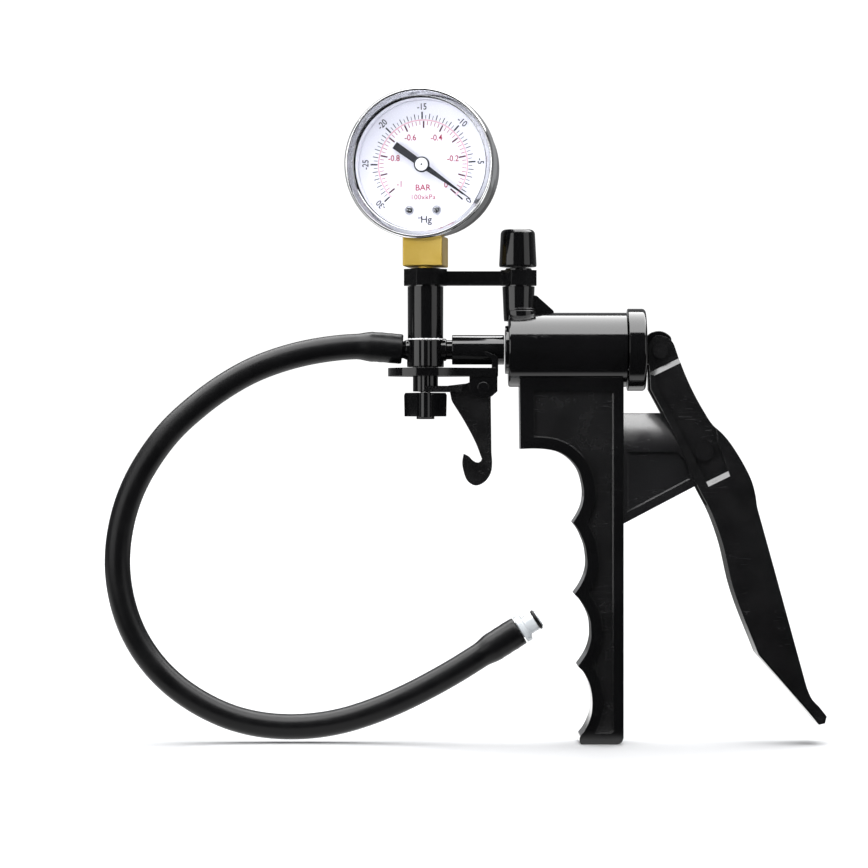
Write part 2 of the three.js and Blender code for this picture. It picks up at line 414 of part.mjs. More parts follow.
// ---------------------------------------------------------------- hose and nozzle
// The hose keeps a set curl; both ends are stretched over their fittings.
const HOSE = [
  [-58.45, 69.9], [-61.0, 70.1], [-64.0, 70.4], [-67.1, 70.6], [-71.0, 70.7], [-74.9, 70.6], [-82.4, 69.7], [-89.5, 68.3], [-96.3, 66.1], [-102.7, 63.7],
  [-108.5, 60.2], [-114.2, 56.6], [-119.2, 52.3], [-124.4, 48.0], [-128.7, 42.8], [-132.6, 37.2], [-136.1, 31.1], [-138.7, 24.5], [-140.4, 17.5],
  [-141.3, 10.2], [-141.0, 2.7], [-139.5, -4.6], [-137.1, -11.8], [-133.2, -18.4], [-128.5, -24.3], [-122.7, -29.3], [-116.4, -33.3], [-109.5, -36.6],
  [-102.6, -38.6], [-95.3, -39.6], [-88.1, -39.7], [-81.1, -39.0], [-74.3, -37.6], [-67.8, -35.4], [-61.3, -32.9], [-54.8, -29.8], [-48.4, -26.4], [-41.7, -22.6],
  [-35.0, -18.2], [-31.6, -16.05], [-28.3, -13.95], [-24.55, -11.6]];
{
  const path = new THREE.CatmullRomCurve3(HOSE.map(([x, z]) => new THREE.Vector3(x, 0, z)), false, 'centripetal');
  const n = 46, pts = [], rad = [];
  const len = path.getLength();
  for (let i = 0; i <= n; i++) {
    const u = i / n, p = path.getPointAt(u);
    const fromEnd = Math.min(u, 1 - u) * len;
    const k = THREE.MathUtils.smoothstep(13.5 - fromEnd, 0, 4.5);
    pts.push([p.x, p.y, p.z]);
    rad.push(HOSE_R + (HOSE_END_R - HOSE_R) * k);
  }
  piece('hose', sweep(pts, rad, 8), RUBBER, 0.5);
}
{
  // Collar and spigot along the hose's last direction.
  const a = HOSE[HOSE.length - 2], b = HOSE[HOSE.length - 1];
  const dir = new THREE.Vector3(b[0] - a[0], 0, b[1] - a[1]).normalize();
  const place = (g) => g.applyQuaternion(new THREE.Quaternion().setFromUnitVectors(new THREE.Vector3(0, 0, 1), dir)).translate(b[0], 0, b[1]);
  piece('hose_nozzle', place(revolve([[1.3, 0.4], [4.3, 0.4], [4.3, 1.9], [3.4, 2.1], [2.6, 2.6], [2.6, 4.7], [2.1, 4.9], [2.1, 5.7], [2.6, 5.9], [2.6, 6.7], [1.3, 6.7]], 0, 0, 28)), WHITE, 0.35);
  piece('nozzle_oring', place(revolve([[2.16, 5.0], [2.85, 5.0], [3.05, 5.3], [2.85, 5.6], [2.16, 5.6]], 0, 0, 28)), RUBBER, 0.5);
}

export default model;
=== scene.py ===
import json
import math

import bmesh
import bpy
from mathutils import Matrix, Vector

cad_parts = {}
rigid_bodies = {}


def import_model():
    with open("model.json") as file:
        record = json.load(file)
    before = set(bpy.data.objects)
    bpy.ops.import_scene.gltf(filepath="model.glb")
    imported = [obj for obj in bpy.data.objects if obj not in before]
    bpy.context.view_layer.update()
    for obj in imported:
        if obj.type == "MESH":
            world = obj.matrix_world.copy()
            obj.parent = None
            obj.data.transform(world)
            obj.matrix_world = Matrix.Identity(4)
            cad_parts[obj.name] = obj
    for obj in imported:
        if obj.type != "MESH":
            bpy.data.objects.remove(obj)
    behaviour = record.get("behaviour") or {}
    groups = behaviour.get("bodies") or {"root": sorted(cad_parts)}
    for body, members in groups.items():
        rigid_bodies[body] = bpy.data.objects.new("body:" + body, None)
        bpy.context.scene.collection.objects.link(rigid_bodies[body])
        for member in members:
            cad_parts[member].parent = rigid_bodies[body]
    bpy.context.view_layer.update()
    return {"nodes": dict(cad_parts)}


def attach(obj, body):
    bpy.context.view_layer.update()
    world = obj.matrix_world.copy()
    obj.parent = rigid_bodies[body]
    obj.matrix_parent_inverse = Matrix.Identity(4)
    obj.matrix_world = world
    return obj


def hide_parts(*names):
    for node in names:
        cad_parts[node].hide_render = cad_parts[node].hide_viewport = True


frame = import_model()
S = 0.001                       # drawing units are millimetres
scene = bpy.context.scene
COL = scene.collection

# ------------------------------------------------------------------ camera
cam_data = bpy.data.cameras.new("camera")
cam_data.lens, cam_data.sensor_width = 135.0, 36.0
cam_data.clip_start, cam_data.clip_end = 0.01, 50.0
camera = bpy.data.objects.new("camera", cam_data)
COL.objects.link(camera)
camera.location = (-0.0493, -0.9434, 0.0453)
camera.rotation_euler = (math.radians(90), 0, 0)
scene.camera = camera

# ------------------------------------------------------------------ drawing constants, as the CAD has them
AXIS_Z = 69.7
VALVE_X, BOSS_X = -51.77, -24.8
GAUGE_Z = 122.9
PIVOT, ROD_PIN, TRIG_PIVOT = (28.42, 40.1), (15.8, 69.2), (-35.1, 58.66)
GAUGE = Matrix.Translation((VALVE_X * S, 0, 0)) @ Matrix.Rotation(math.radians(-9), 4, "Z")


# ------------------------------------------------------------------ mesh helpers
def add_object(name, me):
    o = bpy.data.objects.new(name, me)
    COL.objects.link(o)
    return o


def from_faces(name, verts, faces):
    me = bpy.data.meshes.new(name)
    me.from_pydata([(x * S, y * S, z * S) for x, y, z in verts], [], faces)
    bm = bmesh.new()
    bm.from_mesh(me)
    bmesh.ops.recalc_face_normals(bm, faces=bm.faces)
    bm.to_mesh(me)
    bm.free()
    me.update()
    return add_object(name, me)


def fillet(points, closed=True, n=4):
    """Rounds the corners of a 2-D line. A point is (a, b) or (a, b, radius)."""
    out, m = [], len(points)
    for i, p in enumerate(points):
        r = p[2] if len(p) > 2 else 0
        if not r or (not closed and i in (0, m - 1)):
            out.append((p[0], p[1]))
            continue
        q = Vector(p[:2])
        a, b = Vector(points[i - 1][:2]), Vector(points[(i + 1) % m][:2])
        da, db = (a - q), (b - q)
        t = min(r, 0.48 * da.length, 0.48 * db.length)
        s, e = q + da.normalized() * t, q + db.normalized() * t
        for k in range(n + 1):
            u = k / n
            c = s * (1 - u) ** 2 + q * 2 * u * (1 - u) + e * u * u
            out.append((c.x, c.y))
    return out


def lathe(name, profile, axis="Z", at=(0.0, 0.0, 0.0), seg=96, n=4, closed=None):
    """Closed body of revolution; the profile is (radius, along[, fillet])."""
    on_axis = profile[0][0] == 0 and profile[-1][0] == 0
    pts = fillet(profile, closed=not on_axis, n=n)
    verts, faces, rings = [], [], []

    def place(r, t, a):
        c, s = r * math.cos(a), r * math.sin(a)
        if axis == "Z":
            return (at[0] + c, at[1] + s, t + at[2])
        if axis == "X":
            return (t + at[0], at[1] + c, at[2] + s)
        return (at[0] + c, t + at[1], at[2] + s)

    for r, t in pts:
        if r < 1e-7:
            rings.append([len(verts)])
            verts.append(place(0, t, 0))
        else:
            rings.append(list(range(len(verts), len(verts) + seg)))
            verts += [place(r, t, 2 * math.pi * k / seg) for k in range(seg)]
    count = len(rings) if not on_axis else len(rings) - 1
    for i in range(count):
        a, b = rings[i], rings[(i + 1) % len(rings)]
        for k in range(seg):
            j = (k + 1) % seg
            if len(a) == 1 and len(b) == 1:
                continue
            if len(a) == 1:
                faces.append((a[0], b[k], b[j]))
            elif len(b) == 1:
                faces.append((a[k], b[0], a[j]))
            else:
                faces.append((a[k], b[k], b[j], a[j]))
    return from_faces(name, verts, faces)


def flow(points, sharp=38.0, step=0.7):
    """A closed outline drawn through its points as one smooth line, straight and sharp where the points say so."""
    P = [Vector(p[:2]) for p in points]
    m = len(P)
    seg = [(P[(i + 1) % m] - P[i]) for i in range(m)]
    out = []

    def tangent(i, after):
        a, b = seg[i - 1], seg[i]
        turn = math.degrees(a.angle(b))
        if turn > sharp:
            return (b if after else a).normalized()
        if a.length > 2.2 * b.length:
            return a.normalized()
        if b.length > 2.2 * a.length:
            return b.normalized()
        return (a.normalized() * b.length + b.normalized() * a.length).normalized()

    for i in range(m):
        a, b, L = P[i], P[(i + 1) % m], seg[i].length
        t0, t1 = tangent(i, True) * L, tangent((i + 1) % m, False) * L
        straight = t0.angle(seg[i]) < 0.02 and t1.angle(seg[i]) < 0.02
        k = 1 if straight else max(2, round(L / step))
        for j in range(k):
            u = j / k
            h = (2 * u**3 - 3 * u * u + 1) * a + (u**3 - 2 * u * u + u) * t0 + (3 * u * u - 2 * u**3) * b + (u**3 - u * u) * t1
            out.append((h.x, h.y))
    return out


def prism(name, outline, a, b, plane="XZ"):
    """An outline thickened from a to b, across the plane it is drawn in."""
    m = len(outline)
    if plane == "XZ":
        verts = [(x, a, z) for x, z in outline] + [(x, b, z) for x, z in outline]
    elif plane == "XY":
        verts = [(x, y, a) for x, y in outline] + [(x, y, b) for x, y in outline]
    else:
        verts = [(a, y, z) for y, z in outline] + [(b, y, z) for y, z in outline]
    faces = [tuple(range(m)), tuple(range(2 * m - 1, m - 1, -1))]
    faces += [(i, (i + 1) % m, m + (i + 1) % m, m + i) for i in range(m)]
    return from_faces(name, verts, faces)


def box_shape(name, x0, x1, y0, y1, z0, z1):
    return prism(name, [(x0, z0), (x1, z0), (x1, z1), (x0, z1)], y0, y1)


def arc(cx, cz, r, a0, a1, n):
    return [(cx + r * math.cos(math.radians(a0 + (a1 - a0) * i / n)), cz + r * math.sin(math.radians(a0 + (a1 - a0) * i / n))) for i in range(n + 1)]


def apply_all(o):
    dg = bpy.context.evaluated_depsgraph_get()
    me = bpy.data.meshes.new_from_object(o.evaluated_get(dg), preserve_all_data_layers=True, depsgraph=dg)
    o.modifiers.clear()
    old = o.data
    o.data = me
    bpy.data.meshes.remove(old)
    return o


def combine(o, tool, how="DIFFERENCE", keep=False):
    m = o.modifiers.new("cut", "BOOLEAN")
    m.operation, m.object, m.solver = how, tool, "EXACT"
    apply_all(o)
    if not keep:
        bpy.data.objects.remove(tool)
    return o


def union(o, *tools):
    for t in tools:
        combine(o, t, "UNION")
    return o


def cut(o, *tools):
    for t in tools:
        combine(o, t)
    return o


def tidy(o, dist=0.004):
    bm = bmesh.new()
    bm.from_mesh(o.data)
    bmesh.ops.remove_doubles(bm, verts=bm.verts, dist=dist * S)
    bmesh.ops.dissolve_degenerate(bm, dist=1e-6, edges=bm.edges)
    bmesh.ops.recalc_face_normals(bm, faces=bm.faces)
    bm.to_mesh(o.data)
    bm.free()
    return o


def bevel(o, width=0.3, seg=3, angle=35.0):
    tidy(o)
    m = o.modifiers.new("edge", "BEVEL")
    m.width, m.segments, m.limit_method, m.angle_limit = width * S, seg, "ANGLE", math.radians(angle)
    m.use_clamp_overlap = True
    m.miter_outer = "MITER_ARC"
    m.profile = 0.5
    return apply_all(o)


def shade(o, angle=32.0, weighted=True):
    me = o.data
    for p in me.polygons:
        p.use_smooth = True
    me.set_sharp_from_angle(angle=math.radians(angle))
    if weighted:
        m = o.modifiers.new("normals", "WEIGHTED_NORMAL")
        m.keep_sharp = True
        m.weight = 60
        apply_all(o)
    return o


def join_objects(name, objs):
    bm = bmesh.new()
    for o in objs:
        me = o.data.copy()
        me.transform(o.matrix_world)
        bm.from_mesh(me)
        bpy.data.meshes.remove(me)
        bpy.data.objects.remove(o)
    me = bpy.data.meshes.new(name)
    bm.to_mesh(me)
    bm.free()
    return add_object(name, me)


def put(o, body, mats, nodes=(), transform=None):
    """Gives a finished piece its materials and its body, and hides the CAD nodes that it stands for."""
    if transform is not None:
        o.data.transform(transform)
    mats = mats if isinstance(mats, (list, tuple)) else [mats]
    which = [p.material_index for p in o.data.polygons]
    o.data.materials.clear()
    for m in mats:
        o.data.materials.append(m)
    for p, i in zip(o.data.polygons, which):
        p.material_index = i if i < len(mats) else 0
    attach(o, body)
    if nodes:
        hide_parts(*nodes)
    return o


# ------------------------------------------------------------------ materials
def new_material(name):
    m = bpy.data.materials.new(name)
    m.use_nodes = True
    nt = m.node_tree
    nt.nodes.clear()
    out = nt.nodes.new("ShaderNodeOutputMaterial")
    b = nt.nodes.new("ShaderNodeBsdfPrincipled")
    nt.links.new(b.outputs[0], out.inputs[0])
    return m, nt, b, out


def noise(nt, scale, detail=3.0, stretch=None, rough=0.5, seed=0.0):
    tc = nt.nodes.new("ShaderNodeTexCoord")
    mp = nt.nodes.new("ShaderNodeMapping")
    mp.inputs["Location"].default_value = (seed, seed * 0.7, seed * 1.3)
    mp.inputs["Scale"].default_value = stretch or (1, 1, 1)
    n = nt.nodes.new("ShaderNodeTexNoise")
    n.inputs["Scale"].default_value = scale
    n.inputs["Detail"].default_value = detail
    n.inputs["Roughness"].default_value = rough
    nt.links.new(tc.outputs["Object"], mp.inputs["Vector"])
    nt.links.new(mp.outputs[0], n.inputs["Vector"])
    return n.outputs["Fac"]


def ramp(nt, fac, a, b, lo=0.3, hi=0.7):
    r = nt.nodes.new("ShaderNodeValToRGB")
    r.color_ramp.elements[0].position, r.color_ramp.elements[1].position = lo, hi
    r.color_ramp.elements[0].color = (*a, 1)
    r.color_ramp.elements[1].color = (*b, 1)
    nt.links.new(fac, r.inputs[0])
    return r.outputs[0]


def spread(nt, fac, lo, hi, a=0.3, b=0.7):
    r = nt.nodes.new("ShaderNodeMapRange")
    r.inputs["From Min"].default_value, r.inputs["From Max"].default_value = a, b
    r.inputs["To Min"].default_value, r.inputs["To Max"].default_value = lo, hi
    nt.links.new(fac, r.inputs["Value"])
    return r.outputs[0]


def math_node(nt, op, a, b):
    n = nt.nodes.new("ShaderNodeMath")
    n.operation = op
    for i, v in enumerate((a, b)):
        if isinstance(v, (int, float)):
            n.inputs[i].default_value = v
        else:
            nt.links.new(v, n.inputs[i])
    return n.outputs[0]


def bump(nt, height, strength, distance, normal=None):
    n = nt.nodes.new("ShaderNodeBump")
    n.inputs["Strength"].default_value = strength
    n.inputs["Distance"].default_value = distance
    nt.links.new(height, n.inputs["Height"])
    if normal is not None:
        nt.links.new(normal, n.inputs["Normal"])
    return n.outputs[0]


def finish_material(name, dark, light, rough, spec=0.5, metal=0.0, patch=70.0, grain=2500.0, grain_amount=0.1, grain_depth=0.00002,
                    peel=None, scratches=True, coat=0.0, coat_rough=0.05, stretch=None, extra=None):
    """Moulded or machined surface: colour patches, uneven gloss, fine grain, faint scratches and handling marks."""
    m, nt, b, out = new_material(name)
    nt.links.new(ramp(nt, noise(nt, patch, 4, seed=1.7), dark, light), b.inputs["Base Color"])
    b.inputs["Metallic"].default_value = metal
    b.inputs["Specular IOR Level"].default_value = spec
    b.inputs["Coat Weight"].default_value = coat
    b.inputs["Coat Roughness"].default_value = coat_rough
    r = spread(nt, noise(nt, 160, 5, seed=3.1, rough=0.6), rough[0], rough[1])
    if scratches:
        # thin wandering hairlines, a little rougher than the skin round them
        w = noise(nt, 420, 2, stretch=(0.15, 1.0, 1.6), seed=5.3)
        line = math_node(nt, "LESS_THAN", math_node(nt, "ABSOLUTE", math_node(nt, "SUBTRACT", w, 0.5), 0), 0.0035)
        keep = math_node(nt, "GREATER_THAN", noise(nt, 90, 2, seed=8.0), 0.56)
        r = math_node(nt, "ADD", r, math_node(nt, "MULTIPLY", math_node(nt, "MULTIPLY", line, keep), 0.16))
    nt.links.new(r, b.inputs["Roughness"])
    nrm = None
    if peel:
        nrm = bump(nt, noise(nt, peel[0], 1, seed=2.2, stretch=stretch), peel[1], peel[2])
    nrm = bump(nt, noise(nt, grain, 3, seed=4.4, stretch=stretch), grain_amount, grain_depth, nrm)
    nt.links.new(nrm, b.inputs["Normal"])
    return m


GLOSS = finish_material("gloss_black_plastic", (0.0016, 0.0016, 0.0018), (0.0028, 0.0028, 0.0031), (0.07, 0.13), spec=0.32, peel=(260, 0.05, 0.0002), grain=1800, grain_amount=0.02)
GLOSS_LONG = finish_material("gloss_black_turned", (0.0016, 0.0016, 0.0018), (0.0028, 0.0028, 0.0031), (0.06, 0.12), spec=0.36, peel=(200, 0.03, 0.0002), grain=900, grain_amount=0.05, stretch=(0.04, 1, 1))
SATIN = finish_material("satin_black_plastic", (0.0022, 0.0022, 0.0024), (0.0036, 0.0036, 0.0039), (0.2, 0.3), spec=0.3, grain=2600, grain_amount=0.22, grain_depth=0.00003, peel=(300, 0.08, 0.0002))
LEVER_BLACK = finish_material("lever_black_plastic", (0.0018, 0.0018, 0.002), (0.0034, 0.0034, 0.0037), (0.17, 0.27), spec=0.38, grain=2200, grain_amount=0.08, peel=(240, 0.05, 0.0002))
RUBBER = finish_material("black_rubber", (0.0015, 0.0015, 0.0018), (0.0028, 0.0028, 0.0031), (0.28, 0.4), spec=0.15, grain=3200, grain_amount=0.25, grain_depth=0.00002, peel=(420, 0.10, 0.0002))
SOFT_RUBBER = finish_material("seal_rubber", (0.008, 0.008, 0.008), (0.016, 0.016, 0.016), (0.42, 0.6), spec=0.4, grain=3600, grain_amount=0.3)
CHROME = finish_material("bezel_chrome", (0.70, 0.71, 0.72), (0.80, 0.80, 0.81), (0.05, 0.13), metal=1.0, grain=3000, grain_amount=0.03, peel=(180, 0.03, 0.0001))
STEEL = finish_material("polished_steel", (0.42, 0.43, 0.44), (0.56, 0.56, 0.57), (0.16, 0.32), metal=1.0, grain=2800, grain_amount=0.12)
CASE = finish_material("case_black_chrome", (0.16, 0.16, 0.17), (0.24, 0.24, 0.25), (0.12, 0.2), metal=1.0, grain=2600, grain_amount=0.05)
BRASS = finish_material("brass", (0.80, 0.54, 0.10), (0.95, 0.70, 0.20), (0.26, 0.42), metal=1.0, patch=110, grain=1500, grain_amount=0.12, grain_depth=0.00003)
SPRING = finish_material("spring_steel", (0.36, 0.36, 0.37), (0.5, 0.5, 0.5), (0.22, 0.38), metal=1.0, grain=3000, grain_amount=0.15)
WHITE = finish_material("white_plastic", (0.74, 0.75, 0.74), (0.82, 0.82, 0.81), (0.22, 0.34), spec=0.5, grain=2400, grain_amount=0.06)
# the white milky collar is coloured grey, darker than its own white: painted shade
MILKY_PAINTED_SHADE = finish_material("milky_plastic_painted_shade", (0.40, 0.42, 0.44), (0.52, 0.54, 0.55), (0.12, 0.24), spec=0.55, grain=1700, grain_amount=0.08)
for n in MILKY_PAINTED_SHADE.node_tree.nodes:
    if n.type == "BSDF_PRINCIPLED":
        n.inputs["Subsurface Weight"].default_value = 0.35
        n.inputs["Subsurface Radius"].default_value = (0.002, 0.002, 0.002)
DIAL = finish_material("dial_white", (0.80, 0.80, 0.85), (0.86, 0.855, 0.90), (0.42, 0.52), spec=0.3, patch=45, grain=3400, grain_amount=0.04, scratches=False)
INK = finish_material("ink_black", (0.008, 0.008, 0.012), (0.03, 0.03, 0.04), (0.45, 0.6), spec=0.3, patch=900, grain=4000, grain_amount=0.1, scratches=False)
INK_RED = finish_material("ink_red", (0.30, 0.015, 0.05), (0.46, 0.04, 0.10), (0.45, 0.6), spec=0.3, patch=900, grain=4000, grain_amount=0.1, scratches=False)
INK_PINK = finish_material("ink_pink", (0.72, 0.36, 0.42), (0.80, 0.46, 0.52), (0.45, 0.6), spec=0.3, patch=600, grain=4000, grain_amount=0.1, scratches=False)
INK_WINE = finish_material("ink_wine", (0.06, 0.008, 0.02), (0.12, 0.02, 0.04), (0.45, 0.6), spec=0.3, patch=900, grain=4000, grain_amount=0.1, scratches=False)
POINTER = finish_material("pointer_black", (0.010, 0.011, 0.014), (0.022, 0.023, 0.028), (0.36, 0.5), spec=0.4, grain=2600, grain_amount=0.12)
TAPE = finish_material("thread_tape", (0.70, 0.70, 0.70), (0.9, 0.9, 0.9), (0.3, 0.5), spec=0.5, grain=1600, grain_amount=0.5, grain_depth=0.00006, scratches=False)

GLASS, nt, b, out = new_material("clear_glass")
b.inputs["Base Color"].default_value = (0.9, 0.93, 0.95, 1)
glossy = nt.nodes.new("ShaderNodeBsdfGlossy")
glossy.inputs["Color"].default_value = (1, 1, 1, 1)
nt.links.new(spread(nt, noise(nt, 120, 4, seed=6.0), 0.02, 0.07), glossy.inputs["Roughness"])
nt.links.new(bump(nt, noise(nt, 45, 1, seed=1.0), 0.004, 0.0002), glossy.inputs["Normal"])
clear = nt.nodes.new("ShaderNodeBsdfTransparent")
clear.inputs["Color"].default_value = (0.965, 0.97, 0.985, 1)
# the same reflection on both sides of the pane: 3 percent face on, rising steeply towards grazing
facing = nt.nodes.new("ShaderNodeLayerWeight")
facing.inputs["Blend"].default_value = 0.5
mix = nt.nodes.new("ShaderNodeMixShader")
nt.links.new(math_node(nt, "ADD", math_node(nt, "MULTIPLY", math_node(nt, "POWER", facing.outputs["Facing"], 5.0), 0.8), 0.03), mix.inputs[0])
nt.links.new(clear.outputs[0], mix.inputs[1])
nt.links.new(glossy.outputs[0], mix.inputs[2])
nt.links.new(mix.outputs[0], out.inputs[0])
nt.nodes.remove(b)

# ------------------------------------------------------------------ hose, as one moulded tube with stretched ends
HOSE = [
    (-58.45, 69.9), (-61.0, 70.1), (-64.0, 70.4), (-67.1, 70.6), (-71.0, 70.7), (-74.9, 70.6), (-82.4, 69.7), (-89.5, 68.3), (-96.3, 66.1), (-102.7, 63.7),
    (-108.5, 60.2), (-114.2, 56.6), (-119.2, 52.3), (-124.4, 48.0), (-128.7, 42.8), (-132.6, 37.2), (-136.1, 31.1), (-138.7, 24.5), (-140.4, 17.5),
    (-141.3, 10.2), (-141.0, 2.7), (-139.5, -4.6), (-137.1, -11.8), (-133.2, -18.4), (-128.5, -24.3), (-122.7, -29.3), (-116.4, -33.3), (-109.5, -36.6),
    (-102.6, -38.6), (-95.3, -39.6), (-88.1, -39.7), (-81.1, -39.0), (-74.3, -37.6), (-67.8, -35.4), (-61.3, -32.9), (-54.8, -29.8), (-48.4, -26.4), (-41.7, -22.6),
    (-35.0, -18.2), (-31.6, -16.05), (-28.3, -13.95), (-24.55, -11.6)]


def catmull(points, per=8):
    P = [Vector((x, 0, z)) for x, z in points]
    P = [2 * P[0] - P[1]] + P + [2 * P[-1] - P[-2]]
    out = []
    for i in range(1, len(P) - 2):
        t = [0.0]
        for k in range(3):
            t.append(t[-1] + max(1e-6, (P[i + k] - P[i - 1 + k]).length) ** 0.5)
        for j in range(per):
            u = t[1] + (t[2] - t[1]) * j / per
            a1 = P[i - 1] * ((t[1] - u) / (t[1] - t[0])) + P[i] * ((u - t[0]) / (t[1] - t[0]))
            a2 = P[i] * ((t[2] - u) / (t[2] - t[1])) + P[i + 1] * ((u - t[1]) / (t[2] - t[1]))
            a3 = P[i + 1] * ((t[3] - u) / (t[3] - t[2])) + P[i + 2] * ((u - t[2]) / (t[3] - t[2]))
            b1 = a1 * ((t[2] - u) / (t[2] - t[0])) + a2 * ((u - t[0]) / (t[2] - t[0]))
            b2 = a2 * ((t[3] - u) / (t[3] - t[1])) + a3 * ((u - t[1]) / (t[3] - t[1]))
            out.append(b1 * ((t[2] - u) / (t[2] - t[1])) + b2 * ((u - t[1]) / (t[2] - t[1])))
    out.append(P[-2].copy())
    return out


path = catmull(HOSE)
# a light smoothing pass takes the last wobble out of the run between the two straight ends
for _ in range(60):
    path = [path[0]] + [path[i] * 0.5 + (path[i - 1] + path[i + 1]) * 0.25 if 8 < i < len(path) - 9 else path[i] for i in range(1, len(path) - 1)] + [path[-1]]
lens = [0.0]
for i in range(1, len(path)):
    lens.append(lens[-1] + (path[i] - path[i - 1]).length)
HOSE_LENGTH = lens[-1]


def on_path(s):
    s = min(max(s, 0.0), HOSE_LENGTH)
    for i in range(1, len(path)):
        if lens[i] >= s:
            u = (s - lens[i - 1]) / max(1e-9, lens[i] - lens[i - 1])
            return path[i - 1].lerp(path[i], u), (path[i] - path[i - 1]).normalized()
    return path[-1], (path[-1] - path[-2]).normalized()


def hose_radius(s):
    e = min(s, HOSE_LENGTH - s)
    u = min(1.0, max(0.0, (13.5 - e) / 4.5))
    k = u * u * (3 - 2 * u)
    # the stretched end swells a touch over each of the barbs under it
    barb = 0.0 if e > 10 else 0.06 * max(0.0, math.cos((e - 3.2) / 2.9 * 2 * math.pi))
    return 3.7 + 0.6 * k + barb * k


stations = [(2.0, 2.62), (0.0, 2.62), (0.0, 3.9), (0.08, 4.1), (0.3, 4.25)]
s = 0.8
while s < HOSE_LENGTH - 0.79:
    stations.append((s, hose_radius(s)))
    s += 0.9 if min(s, HOSE_LENGTH - s) < 16 else 1.6
stations += [(HOSE_LENGTH - 0.3, 4.25), (HOSE_LENGTH - 0.08, 4.1), (HOSE_LENGTH, 3.9), (HOSE_LENGTH, 2.62), (HOSE_LENGTH - 2.0, 2.62)]
verts, faces, SIDES = [], [], 48
for s, r in stations:
    c, t = on_path(s)
    side = Vector((0, 1, 0))
    up = t.cross(side)
    for k in range(SIDES):
        a = 2 * math.pi * k / SIDES
        v = c + side * (r * math.cos(a)) + up * (r * math.sin(a))
        verts.append(tuple(v))
for i in range(len(stations) - 1):
    for k in range(SIDES):
        j = (k + 1) % SIDES
        faces.append((i * SIDES + k, i * SIDES + j, (i + 1) * SIDES + j, (i + 1) * SIDES + k))
faces.append(tuple(range(SIDES)))
faces.append(tuple(range((len(stations) - 1) * SIDES, len(stations) * SIDES)))
hose = shade(from_faces("hose_tube", verts, faces), 50, weighted=False)
put(hose, "pump_body", RUBBER, ["hose"])

# nozzle: collar, barbed spigot and its O-ring, along the hose's last direction
DIR = (Vector((HOSE[-1][0], 0, HOSE[-1][1])) - Vector((HOSE[-2][0], 0, HOSE[-2][1]))).normalized()
NOZZLE = Matrix.Translation((HOSE[-1][0] * S, 0, HOSE[-1][1] * S)) @ Vector((0, 0, 1)).rotation_difference(DIR).to_matrix().to_4x4()
nozzle = lathe("nozzle_spigot", [(1.3, 0.0), (2.4, 0.0), (2.5, 0.35), (4.25, 0.35, 0.3), (4.3, 1.9, 0.45), (3.2, 2.25, 0.3), (2.8, 2.5, 0.2), (2.8, 5.3, 0.15), (2.3, 5.4), (2.3, 6.3), (2.55, 6.35, 0.1), (2.45, 6.7, 0.15), (1.3, 6.7, 0.1)], seg=80)
shade(nozzle, 30, weighted=False)
put(nozzle, "pump_body", MILKY_PAINTED_SHADE, ["hose_nozzle"], NOZZLE)
ringpts = [(2.62 + 0.48 * math.cos(a * math.pi / 8), 5.85 + 0.48 * math.sin(a * math.pi / 8)) for a in range(16)]
oring = shade(lathe("nozzle_seal_ring", ringpts, seg=80), 60, weighted=False)
put(oring, "pump_body", RUBBER, ["nozzle_oring"], NOZZLE)

# ------------------------------------------------------------------ barrel, exhaust housing and cap
barrel = lathe("barrel_shell", [(1.6, -28.7), (6.96, -28.7, 0.25), (6.96, -27.8), (10.75, -27.8, 0.7), (10.75, 6.4, 0.25), (9.0, 6.4), (9.0, -25.8), (1.6, -25.8)], "X", (0, 0, AXIS_Z), seg=128)
boss = lathe("boss", [(0, 78.6), (4.3, 78.6), (4.45, 81.9, 0.15), (4.68, 87.6), (4.68, 88.0, 0.1), (3.8, 88.0), (3.8, 93.3, 0.25), (0, 93.3)], "Z", (BOSS_X, 0, 0), seg=80)
foot = lathe("foot", [(0, 78.0), (4.75, 78.0), (4.75, 80.95, 0.3), (4.45, 81.1, 0.1), (4.6, 81.2, 0.1), (4.6, 81.7, 0.2), (0, 81.75)], "Z", (BOSS_X + 0.5, 0, 0), seg=80)
rib = prism("rib", [(-22.8, 76.0), (-14.6, 76.0), (-14.6, 80.9), (-15.0, 81.3), (-19.6, 85.4), (-22.8, 85.6)], -1.1, 1.1)
bevel(rib, 0.22, 2, 30)
union(barrel, foot, boss, rib)
cut(barrel, lathe("bore", [(0, -25.8), (9.0, -25.8), (9.0, 8), (0, 8)], "X", (0, 0, AXIS_Z), seg=128),
    lathe("port", [(0, 74), (1.0, 74), (1.0, 84), (0, 84)], "Z", (BOSS_X, 0, 0), seg=32),
    lathe("chamber", [(0, 82.4), (2.3, 82.4), (2.3, 95), (0, 95)], "Z", (BOSS_X, 0, 0), seg=48))
shade(tidy(barrel), 28)
put(barrel, "pump_body", GLOSS_LONG, ["barrel"])

cap = lathe("barrel_end_cap", [(3.4, 6.7), (11.9, 6.7, 0.25), (11.9, 11.3, 0.5), (11.3, 11.9, 0.3), (8.6, 11.9, 0.1), (8.3, 11.55, 0.1), (4.6, 11.55, 0.1), (4.3, 11.9, 0.1), (3.4, 11.9)], "X", (0, 0, AXIS_Z), seg=128)
shade(cap, 30, weighted=False)
put(cap, "pump_body", GLOSS_LONG, ["barrel_cap"])

knob = lathe("exhaust_cap_knob", [(0, 93.9), (3.9, 93.9), (4.0, 93.7), (5.35, 93.7, 0.25), (5.45, 94.3, 0.2), (4.97, 103.7, 0.9), (4.2, 104.5, 0.6), (1.2, 104.5, 0.2), (0.9, 104.2, 0.1), (0, 104.2)], "Z", (BOSS_X - 0.2, 0, 0), seg=96)
shade(knob, 34, weighted=False)
put(knob, "exhaust_knob", GLOSS, ["exhaust_knob"])

